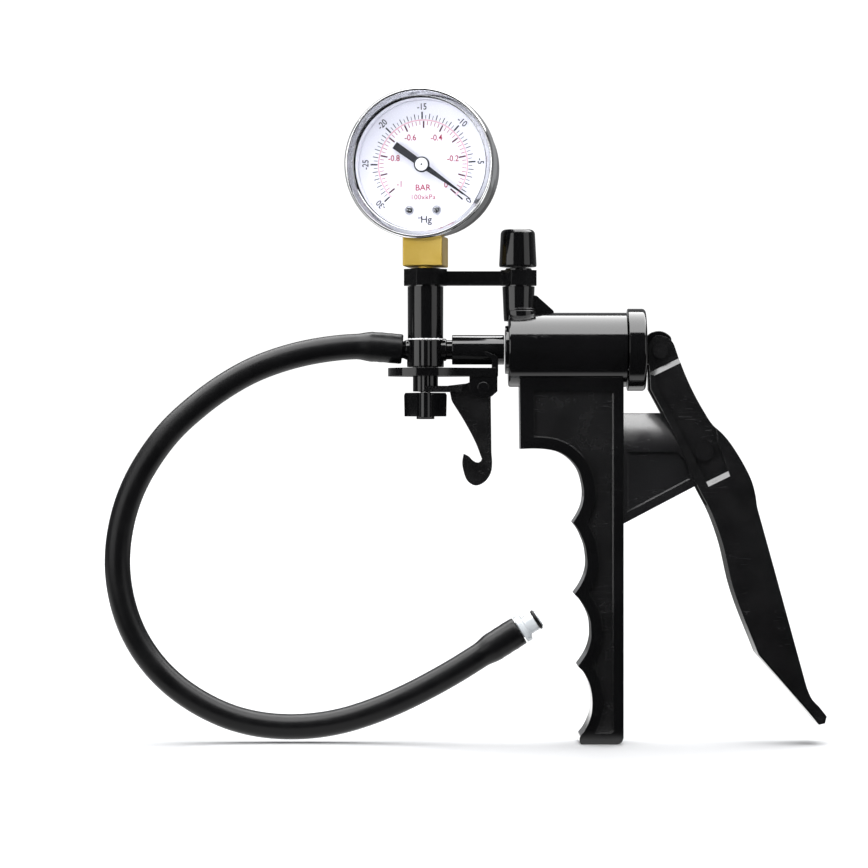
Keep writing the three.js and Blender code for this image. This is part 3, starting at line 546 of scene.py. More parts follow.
pipe = lathe("union_pipe", [(2.9, -44.1), (4.3, -44.1, 0.3), (4.3, -29.0, 0.15), (2.9, -29.0)], "X", (0, 0, AXIS_Z), seg=80)
shade(pipe, 34, weighted=False)
put(pipe, "pump_body", GLOSS_LONG, ["connecting_pipe"])

# ------------------------------------------------------------------ grip
GRIP = [
    (-23.8, 61.85), (-24.65, 61.0), (-24.4, 41.0), (-20.0, 41.1), (-16.2, 40.8), (-13.3, 40.1), (-11.0, 38.8),
    (-9.0, 36.9), (-7.5, 34.6), (-6.7, 32.0), (-6.25, 29.4), (-6.25, 27.1), (-6.7, 24.7), (-7.7, 22.4), (-9.3, 19.8),
    (-7.8, 17.8), (-6.7, 15.5), (-5.8, 13.1), (-5.4, 10.8), (-5.2, 8.5), (-5.4, 6.2), (-6.1, 3.9), (-7.3, 1.5), (-8.9, -0.8),
    (-7.3, -2.5), (-5.9, -4.6), (-4.9, -6.6), (-4.3, -8.6), (-4.1, -10.9), (-4.1, -13.3), (-4.5, -15.3), (-5.2, -17.3), (-6.4, -19.4), (-7.9, -21.5),
    (-6.4, -23.1), (-5.3, -24.9), (-4.6, -26.6), (-4.1, -28.6), (-3.8, -30.95), (-3.8, -33.3), (-4.1, -35.6), (-4.9, -37.9), (-6.1, -40.2), (-7.4, -42.0),
    (-7.5, -43.2), (-6.9, -44.0), (3.2, -44.0), (4.7, -43.4), (5.25, -42.0), (5.25, 60.1), (4.7, 61.4), (3.5, 61.85)]
PANEL = [
    (-20.6, 57.6), (-20.4, 44.6), (-16.5, 44.3), (-12.4, 43.3), (-8.6, 41.0), (-5.7, 38.0), (-3.7, 34.2), (-2.8, 30.0), (-2.9, 25.6), (-4.3, 21.4), (-4.9, 19.5),
    (-3.6, 16.8), (-2.3, 13.0), (-1.8, 8.6), (-2.6, 4.2), (-4.6, -0.6), (-2.6, -3.9), (-1.2, -7.6), (-0.7, -12.0), (-1.6, -16.6), (-3.7, -21.2),
    (-2.1, -23.9), (-0.9, -27.5), (-0.4, -32.1), (-1.2, -37.0), (-2.8, -40.7), (1.5, -40.7), (2.2, -40.0), (2.2, 57.0), (1.6, 57.6)]


def inset(outline, d):
    """Moves a closed outline inwards by d."""
    area = sum(outline[i - 1][0] * outline[i][1] - outline[i][0] * outline[i - 1][1] for i in range(len(outline)))
    sign = 1 if area > 0 else -1
    res, m = [], len(outline)
    for i in range(m):
        p, a, b = Vector(outline[i]), Vector(outline[i - 1]), Vector(outline[(i + 1) % m])
        u, v = (p - a).normalized(), (b - p).normalized()
        n1, n2 = Vector((-u.y, u.x)) * sign, Vector((-v.y, v.x)) * sign
        w = (n1 + n2)
        w = w / max(0.35, w.length_squared / 2) if w.length > 1e-6 else n1
        res.append((p.x + w.x * d, p.y + w.y * d))
    return res


def tapered(name, outline, a, b, d):
    """A prism whose far end is inset by d, so that its walls lean."""
    small = inset(outline, d)
    m = len(outline)
    verts = [(x, a, z) for x, z in outline] + [(x, b, z) for x, z in small]
    faces = [tuple(range(m)), tuple(range(2 * m - 1, m - 1, -1))]
    faces += [(i, (i + 1) % m, m + (i + 1) % m, m + i) for i in range(m)]
    return from_faces(name, verts, faces)


outer = flow(GRIP, 38, 0.6)
grip = prism("grip_handle", outer, -7.5, 7.5)
saddle = lathe("saddle", [(0, -40), (11.05, -40), (11.05, 30), (0, 30)], "X", (0, 0, AXIS_Z), seg=128)
capcut = lathe("capcut", [(0, 6.4), (12.2, 6.4), (12.2, 30), (0, 30)], "X", (0, 0, AXIS_Z), seg=128)
panel = flow(PANEL, 30, 0.7)
near = tapered("near", inset(panel, -0.25), -8.2, -6.2, 0.35)
far = tapered("far", inset(panel, -0.25), 8.2, 6.2, 0.35)
web_seat = box_shape("web_seat", 3.4, 6.0, -3.7, 3.7, 18.6, 52.0)
cut(grip, saddle, capcut, near, far, web_seat)
bevel(grip, 0.75, 4, 40)
shade(grip, 30)
for p in grip.data.polygons:
    if abs(p.normal.y) > 0.995 and abs(abs(p.center.y) - 0.0062) < 0.00006:
        p.material_index = 1
put(grip, "pump_body", [GLOSS, SATIN], ["grip"])

# ------------------------------------------------------------------ web that carries the lever's pivot
WEB = [(3.7, 51.4), (19.1, 51.4), (25.0, 47.0), (29.6, 44.9), (32.2, 42.9), (33.0, 40.1), (32.2, 37.2), (29.8, 33.8), (27.15, 30.8), (5.4, 19.35), (3.7, 19.35)]
web = prism("pivot_web", WEB, -3.4, 3.4)
for sgn in (-1, 1):
    # the upper flank rolls back towards the top edge
    roll = [(3.4, 41.0)]
    for i in range(1, 13):
        u = i / 12
        roll.append((3.4 - 3.1 * u**1.55, 41.0 + 10.4 * u))
    prof = [(sgn * y, z) for y, z in roll] + [(sgn * 0.3, 53.0), (sgn * 5.0, 53.0), (sgn * 5.0, 41.0)]
    cut(web, prism("roll", prof, 0.0, 24.0, "YZ"))
    low = [(6.4, 40.4), (21.0, 40.4), (23.6, 37.6), (25.0, 32.2), (6.4, 22.4)]
    t = tapered("recess", low, sgn * 4.0, sgn * 2.7, 0.5)
    cut(web, t)
cut(web, lathe("hole", [(0, -5), (1.76, -5), (1.76, 5), (0, 5)], "Y", (PIVOT[0], 0, PIVOT[1]), seg=48))
bevel(web, 0.3, 3, 30)
bm = bmesh.new()
bm.from_mesh(web.data)
for X in range(5, 33, 2):
    bmesh.ops.bisect_plane(bm, geom=bm.verts[:] + bm.edges[:] + bm.faces[:], plane_co=(X * S, 0, 0), plane_no=(1, 0, 0))
bm.to_mesh(web.data)
bm.free()
shade(web, 30)
put(web, "pump_body", LEVER_BLACK, ["pivot_bracket"])

# ------------------------------------------------------------------ squeeze lever
LIMB = arc(ROD_PIN[0], ROD_PIN[1], 3.7, 175, 145, 3) + arc(ROD_PIN[0], ROD_PIN[1], 4.42, 112, 20, 10) + [
    (21.2, 67.0), (24.1, 59.8), (28.1, 52.2), (31.0, 47.8), (33.4, 45.6), (35.4, 43.3), (37.4, 40.4), (39.9, 36.2), (42.3, 31.0), (43.2, 27.3), (43.7, 23.9), (48.7, 5.8), (57.3, -25.6),
    (58.4, -29.0), (59.4, -31.0), (61.3, -33.0), (63.6, -35.9), (63.1, -37.9), (61.3, -38.3), (58.0, -34.3), (44.0, -18.2), (36.7, 1.1), (33.3, 15.1), (30.6, 22.5), (26.8, 29.9),
    (20.6, 44.2), (17.5, 50.1), (13.1, 58.2), (12.9, 63.3)]
lever = prism("squeeze_handle", flow(LIMB, 19, 1.2), -7.9, 7.9)
for sgn in (-1, 1):
    # the flank steps outwards twice on the way down, each step facing up and out
    prof = [(8.6, 90.0), (6.2, 90.0), (6.2, 65.0), (7.0, 63.6), (7.0, 29.6), (8.6, 26.9)]
    tool = prism("steps", [(sgn * y, z) for y, z in prof], -30, 30, "YZ")
    tool.data.transform(Matrix.Translation((17.0 * S, 0, 64.5 * S)) @ Matrix.Rotation(math.radians(-26), 4, "Y") @ Matrix.Translation((0, 0, -64.5 * S)))
    upper = prism("upper", [(0, 90), (60, 90), (60, 58.0), (31.6, 49.0), (32.4, 43.4), (36.4, 31.5), (35.4, 27.6), (30.4, 26.4), (29.5, 30.4), (22.1, 45.0), (18.9, 51.2), (14.9, 58.4), (14.0, 62.2), (10, 63), (0, 63)], min(sgn * 5, sgn * 9), max(sgn * 5, sgn * 9))
    m = tool.modifiers.new("keep", "BOOLEAN")
    m.operation, m.object, m.solver = "INTERSECT", upper, "EXACT"
    apply_all(tool)
    bpy.data.objects.remove(upper)
    cut(lever, tool)
    rim = box_shape("rim", -10, 80, min(sgn * 6.6, sgn * 9), max(sgn * 6.6, sgn * 9), -50, 80)
    face = inset(flow(LIMB, 19, 1.2), 1.05)
    cut(rim, tapered("face", face, sgn * 6.5, sgn * 9.2, 0.7))
    cut(lever, rim)
pocket = arc(PIVOT[0], PIVOT[1], 10.4, 80, -34, 14) + arc(PIVOT[0], PIVOT[1], 15.5, -52, -100, 6) + [(10, 26), (10, 52)]
cut(lever, prism("pocket", pocket, -4.0, 4.0), box_shape("pocket_top", 0, 34, -4.0, 4.0, 38.6, 80))
# hole for the pivot pin through the handle
cut(lever, lathe("pivot_hole", [(0, -7.6), (1.76, -7.6), (1.76, 7.6), (0, 7.6)], "Y", (PIVOT[0], 0, PIVOT[1]), seg=40))
bevel(lever, 0.5, 3, 28)
shade(lever, 30)
put(lever, "lever", LEVER_BLACK, ["squeeze_lever"])

# ------------------------------------------------------------------ piston rod's tongue, seen between the cheeks
rodp = lathe("piston_rod_shaft", [(0, -24.4), (3.0, -24.4, 0.2), (3.0, 13.0), (0, 13.0)], "X", (0, 0, AXIS_Z), seg=64)
TONGUE = [(12.25, 66.0), (13.2, 65.2), (17.6, 65.2), (19.3, 66.8), (19.3, 72.6), (17.6, 74.6), (15.4, 75.1), (13.2, 74.4), (12.25, 73.2)]
union(rodp, prism("tongue", flow(TONGUE, 60, 0.6), -3.6, 3.6))
slot = arc(ROD_PIN[0], ROD_PIN[1], 1.62, 180, 360, 12) + arc(ROD_PIN[0], ROD_PIN[1] + 2.75, 1.62, 0, 180, 12)
cut(rodp, prism("slot", slot, -5, 5))
bevel(rodp, 0.3, 3, 35)
shade(rodp, 32)
put(rodp, "piston_rod", GLOSS, ["piston_rod"])

# ------------------------------------------------------------------ release valve
valve = lathe("valve_core", [(0, 64.7), (5.35, 64.7, 0.25), (5.35, 72.6, 0.2), (0, 72.6)], "Z", (VALVE_X, 0, 0), seg=96)
union(valve,
      lathe("sleeve", [(0, 57.6), (3.65, 57.6, 0.2), (3.65, 65.5), (0, 65.5)], "Z", (VALVE_X, 0, 0), seg=72),
      lathe("left", [(0, -60.2), (2.3, -60.2, 0.1), (2.5, -58.9, 0.1), (2.5, -58.1), (2.9, -57.3, 0.2), (3.05, -50.0), (0, -50.0)], "X", (0, 0, AXIS_Z), seg=56),
      lathe("right", [(0, -51.3), (3.25, -51.3), (3.25, -45.9, 0.2), (2.8, -45.6), (2.8, -42.9), (0, -42.9)], "X", (0, 0, AXIS_Z), seg=56),
      lathe("vrib", [(0, 64.9), (1.9, 64.9, 0.15), (1.9, 72.4, 0.15), (0, 72.4)], "Z", (VALVE_X, -4.7, 0), seg=48))
union(valve, lathe("srib", [(0, 57.7), (1.5, 57.7), (1.5, 65.5), (0, 65.5)], "Z", (VALVE_X, -3.0, 0), seg=40))
cut(valve, lathe("vbore", [(0, 50), (2.3, 50), (2.3, 66.0), (3.7, 66.0), (3.7, 80), (0, 80)], "Z", (VALVE_X, 0, 0), seg=56),
    lathe("vacross", [(0, -62), (1.5, -62), (1.5, -40), (0, -40)], "X", (0, 0, AXIS_Z), seg=32))
shade(tidy(valve), 30)
put(valve, "pump_body", GLOSS, ["valve_body"])

# ragged wrap of white thread tape squeezed out of the joint above the valve
verts, faces = [], []
SEG = 120
for k in range(SEG):
    a = 2 * math.pi * k / SEG
    w = 0.5 + 0.5 * math.sin(5 * a + 1.2) * math.sin(11 * a + 0.4) + 0.25 * math.sin(23 * a)
    r = 4.95 + 0.22 * max(0.0, w)
    top, low = 72.93 + 0.05 * max(0, w), 72.58 - 0.10 * max(0.0, math.sin(7 * a + 2))
    for rr, zz in ((4.2, 72.62), (r, low), (r + 0.04, (top + low) / 2), (r, top), (4.2, 72.86)):
        verts.append((VALVE_X + rr * math.cos(a), rr * math.sin(a), zz))
for k in range(SEG):
    j = (k + 1) % SEG
    for i in range(5):
        n2 = (i + 1) % 5
        faces.append((k * 5 + i, j * 5 + i, j * 5 + n2, k * 5 + n2))
tape = shade(from_faces("thread_tape_wrap", verts, faces), 60, weighted=False)
put(tape, "pump_body", TAPE)


def octagon(x, r, y=0.0, turn=0.5):
    return [(x + r * math.cos((i + turn) * math.pi / 4), y + r * math.sin((i + turn) * math.pi / 4)) for i in range(8)]


# button: open below, eight-sided, with a hub and one rounded rib
top, low = octagon(VALVE_X, 6.7), octagon(VALVE_X, 6.55)
verts = [(x, y, 50.4) for x, y in low] + [(x, y, 56.5) for x, y in top] + [(x, y, 57.2) for x, y in octagon(VALVE_X, 6.3)]
faces = [tuple(range(8)), tuple(range(23, 15, -1))]
for k in (0, 8):
    faces += [(k + i, k + (i + 1) % 8, k + 8 + (i + 1) % 8, k + 8 + i) for i in range(8)]
button = from_faces("release_push_button", verts, faces)
cut(button, lathe("hollow", [(2.7, 49), (5.1, 49), (5.0, 55.2, 0.3), (2.7, 55.2)], "Z", (VALVE_X, 0, 0), seg=64))
union(button, lathe("hub", [(0, 49.6), (2.6, 49.6, 0.2), (2.7, 56), (0, 56)], "Z", (VALVE_X, 0, 0), seg=48),
      lathe("brib", [(0, 50.0), (1.9, 50.0, 0.2), (1.9, 57.2, 0.2), (0, 57.2)], "Z", (VALVE_X, -5.4, 0), seg=48))
cut(button, lathe("socket", [(0, 51.6), (1.8, 51.6), (1.8, 60), (0, 60)], "Z", (VALVE_X, 0, 0), seg=40))
bevel(button, 0.22, 3, 32)
shade(button, 32)
put(button, "plunger", GLOSS, ["release_button"])

# plate clamped round the sleeve
base = arc(VALVE_X, 0, 10.87, 60, 300, 72) + [(-38.0, -6.2), (-31.6, -5.9), (-30.8, -5.0), (-30.8, 5.0), (-31.6, 5.9), (-38.0, 6.2)]
bracket = prism("trigger_carrier_plate", base, 62.0, 64.4, "XY")
for sgn in (-1, 1):
    union(bracket, prism("lugs", [(-39.0, 63.0), (-31.0, 63.0), (-31.0, 57.6), (-32.6, 56.2), (-37.4, 56.2), (-39.0, 57.6)], min(sgn * 3.6, sgn * 5.4), max(sgn * 3.6, sgn * 5.4)))
    union(bracket, prism("clip", [(-32.5, 63.0), (-30.8, 63.0), (-30.8, 67.3), (-31.6, 68.0), (-34.6, 69.2), (-34.6, 68.2), (-32.5, 66.6)], min(sgn * 4.6, sgn * 5.8), max(sgn * 4.6, sgn * 5.8)))
cut(bracket, lathe("bh", [(0, 60), (3.9, 60), (3.9, 66), (0, 66)], "Z", (VALVE_X, 0, 0), seg=64),
    box_shape("srh", VALVE_X - 1.75, VALVE_X + 1.75, -4.75, -2.0, 60, 66),
    lathe("bp", [(0, -10), (1.06, -10), (1.06, 10), (0, 10)], "Y", (TRIG_PIVOT[0], 0, TRIG_PIVOT[1]), seg=32))
bevel(bracket, 0.25, 3, 32)
shade(bracket, 32)
put(bracket, "pump_body", GLOSS, ["trigger_bracket"])

pin = lathe("trigger_rivet", [(0, -6.1), (1.7, -6.1, 0.5), (1.7, -5.6, 0.05), (1.0, -5.6), (1.0, 5.6), (1.7, 5.6, 0.05), (1.7, 6.1, 0.5), (0, 6.1)], "Y", (TRIG_PIVOT[0], 0, TRIG_PIVOT[1]), seg=40)
shade(pin, 34, weighted=False)
put(pin, "pump_body", GLOSS, ["trigger_pin"])

FINGER = [(-45.1, 59.3), (-44.6, 57.1), (-43.9, 54.5), (-39.9, 48.0), (-36.9, 42.1), (-35.4, 38.1), (-36.4, 37.0), (-38.0, 37.6), (-39.3, 38.9),
          (-40.7, 39.6), (-41.1, 37.0), (-40.7, 34.5), (-39.4, 31.5), (-37.4, 30.4), (-34.9, 31.3), (-32.9, 34.1), (-32.5, 37.1), (-32.7, 40.1),
          (-32.9, 56.0), (-33.0, 59.6), (-34.0, 60.8), (-36.4, 61.2), (-38.4, 60.6), (-40.0, 59.9)]
trig = prism("finger_trigger", flow(FINGER, 75, 0.7), -3.2, 3.2)
union(trig, box_shape("yoke", -45.1, -41.2, -6.0, 6.0, 57.6, 59.3), box_shape("pr1", -52.3, -44.5, 4.2, 6.0, 57.5, 59.2), box_shape("pr2", -52.3, -44.5, -6.0, -4.2, 57.5, 59.2))
cut(trig, lathe("tp", [(0, -10), (1.06, -10), (1.06, 10), (0, 10)], "Y", (TRIG_PIVOT[0], 0, TRIG_PIVOT[1]), seg=32))
bevel(trig, 0.45, 3, 38)
shade(trig, 32)
put(trig, "trigger", LEVER_BLACK, ["release_trigger"])

# ------------------------------------------------------------------ gauge post and bridge
post = lathe("gauge_stand_post", [(2.7, 72.9), (5.15, 72.9, 0.25), (5.2, 88.0), (4.3, 88.0), (4.3, 93.3, 0.2), (2.7, 93.3)], "Z", (VALVE_X, 0, 0), seg=96)
shade(post, 30, weighted=False)
put(post, "pump_body", GLOSS, ["gauge_post"])
bridge = prism("bridge_clamp", octagon(VALVE_X, 6.75), 88.3, 93.0, "XY")
union(bridge, prism("rc", octagon(BOSS_X, 5.6), 88.3, 92.7, "XY"), box_shape("bar", VALVE_X + 5, BOSS_X - 4.5, -1.7, 1.7, 88.4, 92.4),
      box_shape("flange", VALVE_X + 5, BOSS_X - 4.5, -2.6, 2.6, 88.35, 89.3))
cut(bridge, lathe("h1", [(0, 80), (4.6, 80), (4.6, 100), (0, 100)], "Z", (VALVE_X, 0, 0), seg=72), lathe("h2", [(0, 80), (4.1, 80), (4.1, 100), (0, 100)], "Z", (BOSS_X, 0, 0), seg=72))
bevel(bridge, 0.22, 3, 30)
shade(bridge, 30)
put(bridge, "pump_body", GLOSS, ["bridge_bar"])

# ------------------------------------------------------------------ gauge
socket = box_shape("gauge_square", -5.8, 5.8, -5.8, 5.8, 93.7, 102.4)
bevel(socket, 0.4, 3, 40)
union(socket, lathe("stem", [(0, 85.0), (2.2, 85.0, 0.2), (2.2, 94), (0, 94)], "Z", seg=48), lathe("neck", [(0, 100), (3.4, 100), (3.4, 107.4), (0, 107.4)], "Z", seg=56))
cut(socket, lathe("sb", [(0, 84), (1.1, 84), (1.1, 105), (0, 105)], "Z", seg=32))
shade(tidy(socket), 32)
put(socket, "pump_body", BRASS, ["gauge_socket"], GAUGE)

case = lathe("gauge_can", [(0, 13.0), (18.6, 13.0, 0.9), (20.0, 12.4, 0.8), (20.0, 6.0, 0.2), (19.8, 5.7, 0.1), (20.0, 5.4, 0.1), (20.0, -8.5), (19.1, -8.5), (19.1, 12.0), (0, 12.0)], "Y", (0, 0, GAUGE_Z), seg=128)
cut(case, lathe("ch", [(0, 95), (3.7, 95), (3.7, 112), (0, 112)], "Z", seg=48))
shade(tidy(case), 30)
put(case, "pump_body", CASE, ["gauge_case"], GAUGE)

bezel = lathe("gauge_ring", [(20.3, -4.2), (21.35, -4.2, 0.3), (21.7, -4.9, 0.3), (21.55, -6.2, 0.2), (21.7, -7.2, 0.2), (21.7, -12.2, 0.6), (21.25, -13.0, 0.35), (20.8, -13.0, 0.25), (19.45, -11.0, 0.2), (19.15, -10.8, 0.1), (20.3, -10.7)], "Y", (0, 0, GAUGE_Z), seg=160, n=5)
shade(bezel, 30, weighted=False)
put(bezel, "pump_body", CHROME, ["gauge_bezel"], GAUGE)

lens = lathe("gauge_glass", [(0, -8.9), (19.9, -8.9), (19.9, -10.0), (19.0, -10.15), (12, -10.3), (0, -10.4)], "Y", (0, 0, GAUGE_Z), seg=128)
shade(lens, 30, weighted=False)
put(lens, "pump_body", GLASS, ["gauge_lens"], GAUGE)

dial = lathe("dial_plate", [(1.2, -4.6), (18.6, -4.6, 0.1), (18.8, -4.45), (18.8, -4.0), (1.2, -4.0)], "Y", (0, 0, GAUGE_Z), seg=128)
cut(dial, *[lathe("dh", [(0, -9), (0.75, -9), (0.75, 0), (0, 0)], "Y", (sx, 0, GAUGE_Z - 13.0), seg=24) for sx in (-4.0, 4.0)])
shade(tidy(dial), 30)
put(dial, "pump_body", DIAL, ["gauge_dial"], GAUGE)

# inner sleeve: the painted wall between the dial and the glass
sleeve = lathe("dial_sleeve_ring", [(18.85, -4.0), (19.05, -4.0), (19.05, -8.8), (18.75, -8.8, 0.1), (18.7, -8.2)], "Y", (0, 0, GAUGE_Z), seg=128)
shade(sleeve, 30, weighted=False)
put(sleeve, "pump_body", DIAL, (), GAUGE)

for name, sx in (("dial_fixing_screw_left", -4.0), ("dial_fixing_screw_right", 4.0)):
    sc = lathe(name, [(0, -5.55), (0.5, -5.5), (1.1, -5.2, 0.2), (1.3, -4.75, 0.08), (1.3, -4.62), (0.65, -4.62), (0.65, -1.9), (0, -1.9)], "Y", (sx, 0, GAUGE_Z - 13.0), seg=48)
    t = 35 if sx < 0 else 60
    for q in (t, t + 90):
        c, s_ = math.cos(math.radians(q)), math.sin(math.radians(q))
        pts = [(sx + c * a - s_ * d, GAUGE_Z - 13.0 + s_ * a + c * d) for a, d in ((-0.85, -0.14), (0.85, -0.14), (0.85, 0.14), (-0.85, 0.14))]
        cut(sc, prism("slot", pts, -6.2, -5.12))
    shade(tidy(sc), 30)
    put(sc, "pump_body", STEEL, [name.replace("_fixing", "")], GAUGE)


def bar(name, angle, r0, r1, width, y0=-4.7, y1=-4.6):
    a = math.radians(angle)
    u, v = (math.cos(a), math.sin(a)), (-math.sin(a), math.cos(a))
    pts = [(u[0] * r + v[0] * d, GAUGE_Z + u[1] * r + v[1] * d) for r, d in ((r0, -width / 2), (r1, -width / 2), (r1, width / 2), (r0, width / 2))]
    return prism(name, pts, y0 + 0.07, y1 - 0.005)


def lettering(name, text, size, x, z, turn=0.0, spacing=1.0, squeeze=1.0):
    cu = bpy.data.curves.new(name, "FONT")
    cu.body, cu.size, cu.align_x, cu.align_y = text, size * S / 0.7, "CENTER", "CENTER"
    cu.extrude, cu.resolution_u, cu.space_character = 0.000012, 3, spacing
    cu.offset = 0.00003 if size > 1.6 else 0.00001
    o = bpy.data.objects.new(name, cu)
    COL.objects.link(o)
    bpy.context.view_layer.update()
    dg = bpy.context.evaluated_depsgraph_get()
    me = bpy.data.meshes.new_from_object(o.evaluated_get(dg))
    bpy.data.objects.remove(o)
    me.transform(Matrix.Translation((x * S, -4.635 * S, (GAUGE_Z + z) * S)) @ Matrix.Rotation(math.radians(turn), 4, "Y") @ Matrix.Rotation(math.radians(90), 4, "X") @ Matrix.Diagonal((squeeze, 1, 1, 1)))
    return add_object(name, me)


def polar(r, a):
    return r * math.cos(math.radians(a)), r * math.sin(math.radians(a))


black, red, wine = [], [], []
for i in range(61):
    a = -41 + 4.4 * i
    if i % 10 == 0:
        black.append(bar("t", a, 13.3, 15.35, 0.44))
    elif i % 2 == 0:
        black.append(bar("t", a, 13.3, 14.85, 0.24))
    else:
        black.append(bar("t", a, 13.3, 14.4, 0.17))
for i in range(51):
    a = -41 + 5.2 * i
    if i % 5 == 0:
        wine.append(bar("t", a, 10.65, 12.7, 0.44))
    else:
        red.append(bar("t", a, 11.5, 12.7, 0.18))
for i in range(7):
    a = -41 + 44 * i
    x, z = polar(16.75, a + (3.2 if i == 0 else 0))
    black.append(lettering("n", "0" if i == 0 else f"-{5 * i}", 1.8, x, z, turn=90 - a, squeeze=0.86))
for i in range(6):
    a = -41 + 52 * i
    x, z = polar(8.9 if i in (1, 0) else 8.7, a)
    red.append(lettering("n", {0: "0", 5: "-1"}.get(i, f"-0.{2 * i}"), 1.75, x, z, squeeze=0.9))
red.append(lettering("u", "BAR", 1.75, 0, -6.6))
red.append(lettering("u", "100xkPa", 1.45, 0, -9.3, spacing=1.05))
black.append(lettering("u", "Hg", 2.0, 0.95, -15.8))
black.append(lettering("u", "in", 0.95, -0.95, -15.2))
put(join_objects("dial_scale_black", black), "pump_body", INK, (), GAUGE)
put(join_objects("dial_scale_red", red), "pump_body", INK_RED, (), GAUGE)
put(join_objects("dial_scale_dark_red", wine), "pump_body", INK_WINE, (), GAUGE)
arc_pts = arc(0, GAUGE_Z, 13.15, -43, 225, 160) + arc(0, GAUGE_Z, 12.82, 225, -43, 160)
put(prism("dial_scale_arc", arc_pts, -4.64, -4.605), "pump_body", INK_PINK, (), GAUGE)

# pointer, hub and spindle
POINT = [(-9.8, -1.1), (-9.8, 1.1), (-2.2, 1.0), (-1.6, 0.95), (2.0, 0.8), (8.0, 0.5), (17.3, 0.1), (17.3, -0.1), (8.0, -0.5), (2.0, -0.8), (-1.6, -0.95), (-2.2, -1.0)]
pointer = prism("gauge_needle", POINT, -6.55, -6.05)
cut(pointer, lathe("nh", [(0, -8), (0.9, -8), (0.9, -4), (0, -4)], "Y", seg=32))
bevel(pointer, 0.1, 2, 35)
shade(pointer, 32)
pointer.data.transform(Matrix.Translation((0, 0, GAUGE_Z * S)) @ Matrix.Rotation(math.radians(35.5), 4, "Y"))
put(pointer, "pointer", POINTER, ["pointer"], GAUGE)
hub = lathe("needle_hub", [(0, -7.3), (0.28, -7.3), (0.28, -7.42), (1.75, -7.42, 0.15), (1.85, -7.3), (1.85, -7.2), (2.1, -7.2), (2.3, -7.1, 0.1), (2.3, -6.7, 0.1), (0.7, -6.7), (0.7, -5.7), (0, -5.7)], "Y", (0, 0, GAUGE_Z), seg=72)
shade(hub, 30, weighted=False)
for p in hub.data.polygons:
    r = math.hypot(p.center.x, p.center.z - GAUGE_Z * S)
    if r > 0.00183 or r < 0.00026:
        p.material_index = 1
put(hub, "pointer", [WHITE, POINTER], ["pointer_hub"], GAUGE)

# ------------------------------------------------------------------ CAD pieces that stay, with their finish
KEEP = {
    "exhaust_ball": STEEL, "exhaust_spring": SPRING, "duckbill_valve": SOFT_RUBBER, "pivot_pin": LEVER_BLACK, "rod_pin": LEVER_BLACK,
    "piston": WHITE, "piston_cup": SOFT_RUBBER, "return_spring": SPRING, "plunger_stem": WHITE, "plunger_oring": SOFT_RUBBER,
    "plunger_spring": SPRING, "movement_plate": BRASS, "bourdon_tube": BRASS, "sector_gear": BRASS, "pointer_spindle": STEEL,
}
for name, m in KEEP.items():
    o = frame["nodes"][name]
    o.data.materials.clear()
    o.data.materials.append(m)

# ------------------------------------------------------------------ stage and light
floor = from_faces("floor", [(-4000, -4000, -44.02), (4000, -4000, -44.02), (4000, 6000, -44.02), (-4000, 6000, -44.02)], [(0, 1, 2, 3)])
FLOOR, nt, b, out = new_material("studio_floor")
nt.links.new(ramp(nt, noise(nt, 3.0, 2), (0.90, 0.905, 0.915), (0.915, 0.92, 0.93)), b.inputs["Base Color"])
b.inputs["Roughness"].default_value = 0.6
b.inputs["Specular IOR Level"].default_value = 0.2
# painted reflection: the floor glows for glossy rays only, so in mirror-like reflections the sweep is dark in front of
# the object, light under and behind it, and falls off beyond
geo = nt.nodes.new("ShaderNodeNewGeometry")
sp = nt.nodes.new("ShaderNodeSeparateXYZ")
nt.links.new(geo.outputs["Position"], sp.inputs[0])
fall = math_node(nt, "MULTIPLY", spread(nt, sp.outputs["Y"], 0.0, 1.0, -0.040, -0.022), spread(nt, sp.outputs["Y"], 1.0, 0.08, 0.10, 0.28))
em = nt.nodes.new("ShaderNodeEmission")
nt.links.new(spread(nt, fall, 0.03, 1.7, 0.0, 1.0), em.inputs["Strength"])
fp = nt.nodes.new("ShaderNodeLightPath")
fm = nt.nodes.new("ShaderNodeMixShader")
nt.links.new(fp.outputs["Is Glossy Ray"], fm.inputs[0])
nt.links.new(b.outputs[0], fm.inputs[1])
nt.links.new(em.outputs[0], fm.inputs[2])
nt.links.new(fm.outputs[0], out.inputs[0])
floor.data.materials.append(FLOOR)

world = bpy.data.worlds.new("studio")
scene.world = world
world.use_nodes = True
nt = world.node_tree
nt.nodes.clear()
wo = nt.nodes.new("ShaderNodeOutputWorld")
seen, unseen = nt.nodes.new("ShaderNodeBackground"), nt.nodes.new("ShaderNodeBackground")
seen.inputs[0].default_value = (1, 1, 1, 1)
seen.inputs[1].default_value = 1.1
tc = nt.nodes.new("ShaderNodeTexCoord")
sep = nt.nodes.new("ShaderNodeSeparateXYZ")
nt.links.new(tc.outputs["Generated"], sep.inputs[0])
unseen.inputs[0].default_value = (0.97, 0.98, 1.0, 1)
nt.links.new(spread(nt, sep.outputs["Y"], 0.15, 1.1, -0.15, 0.75), unseen.inputs[1])
mirrored = nt.nodes.new("ShaderNodeBackground")
mirrored.inputs[0].default_value = (0.97, 0.98, 1.0, 1)
nt.links.new(spread(nt, sep.outputs["Y"], 0.05, 0.32, -0.2, 0.9), mirrored.inputs[1])
lp = nt.nodes.new("ShaderNodeLightPath")
mg = nt.nodes.new("ShaderNodeMixShader")
nt.links.new(lp.outputs["Is Glossy Ray"], mg.inputs[0])
nt.links.new(unseen.outputs[0], mg.inputs[1])
nt.links.new(mirrored.outputs[0], mg.inputs[2])
mw = nt.nodes.new("ShaderNodeMixShader")
nt.links.new(lp.outputs["Is Camera Ray"], mw.inputs[0])
nt.links.new(mg.outputs[0], mw.inputs[1])
nt.links.new(seen.outputs[0], mw.inputs[2])
nt.links.new(mw.outputs[0], wo.inputs[0])

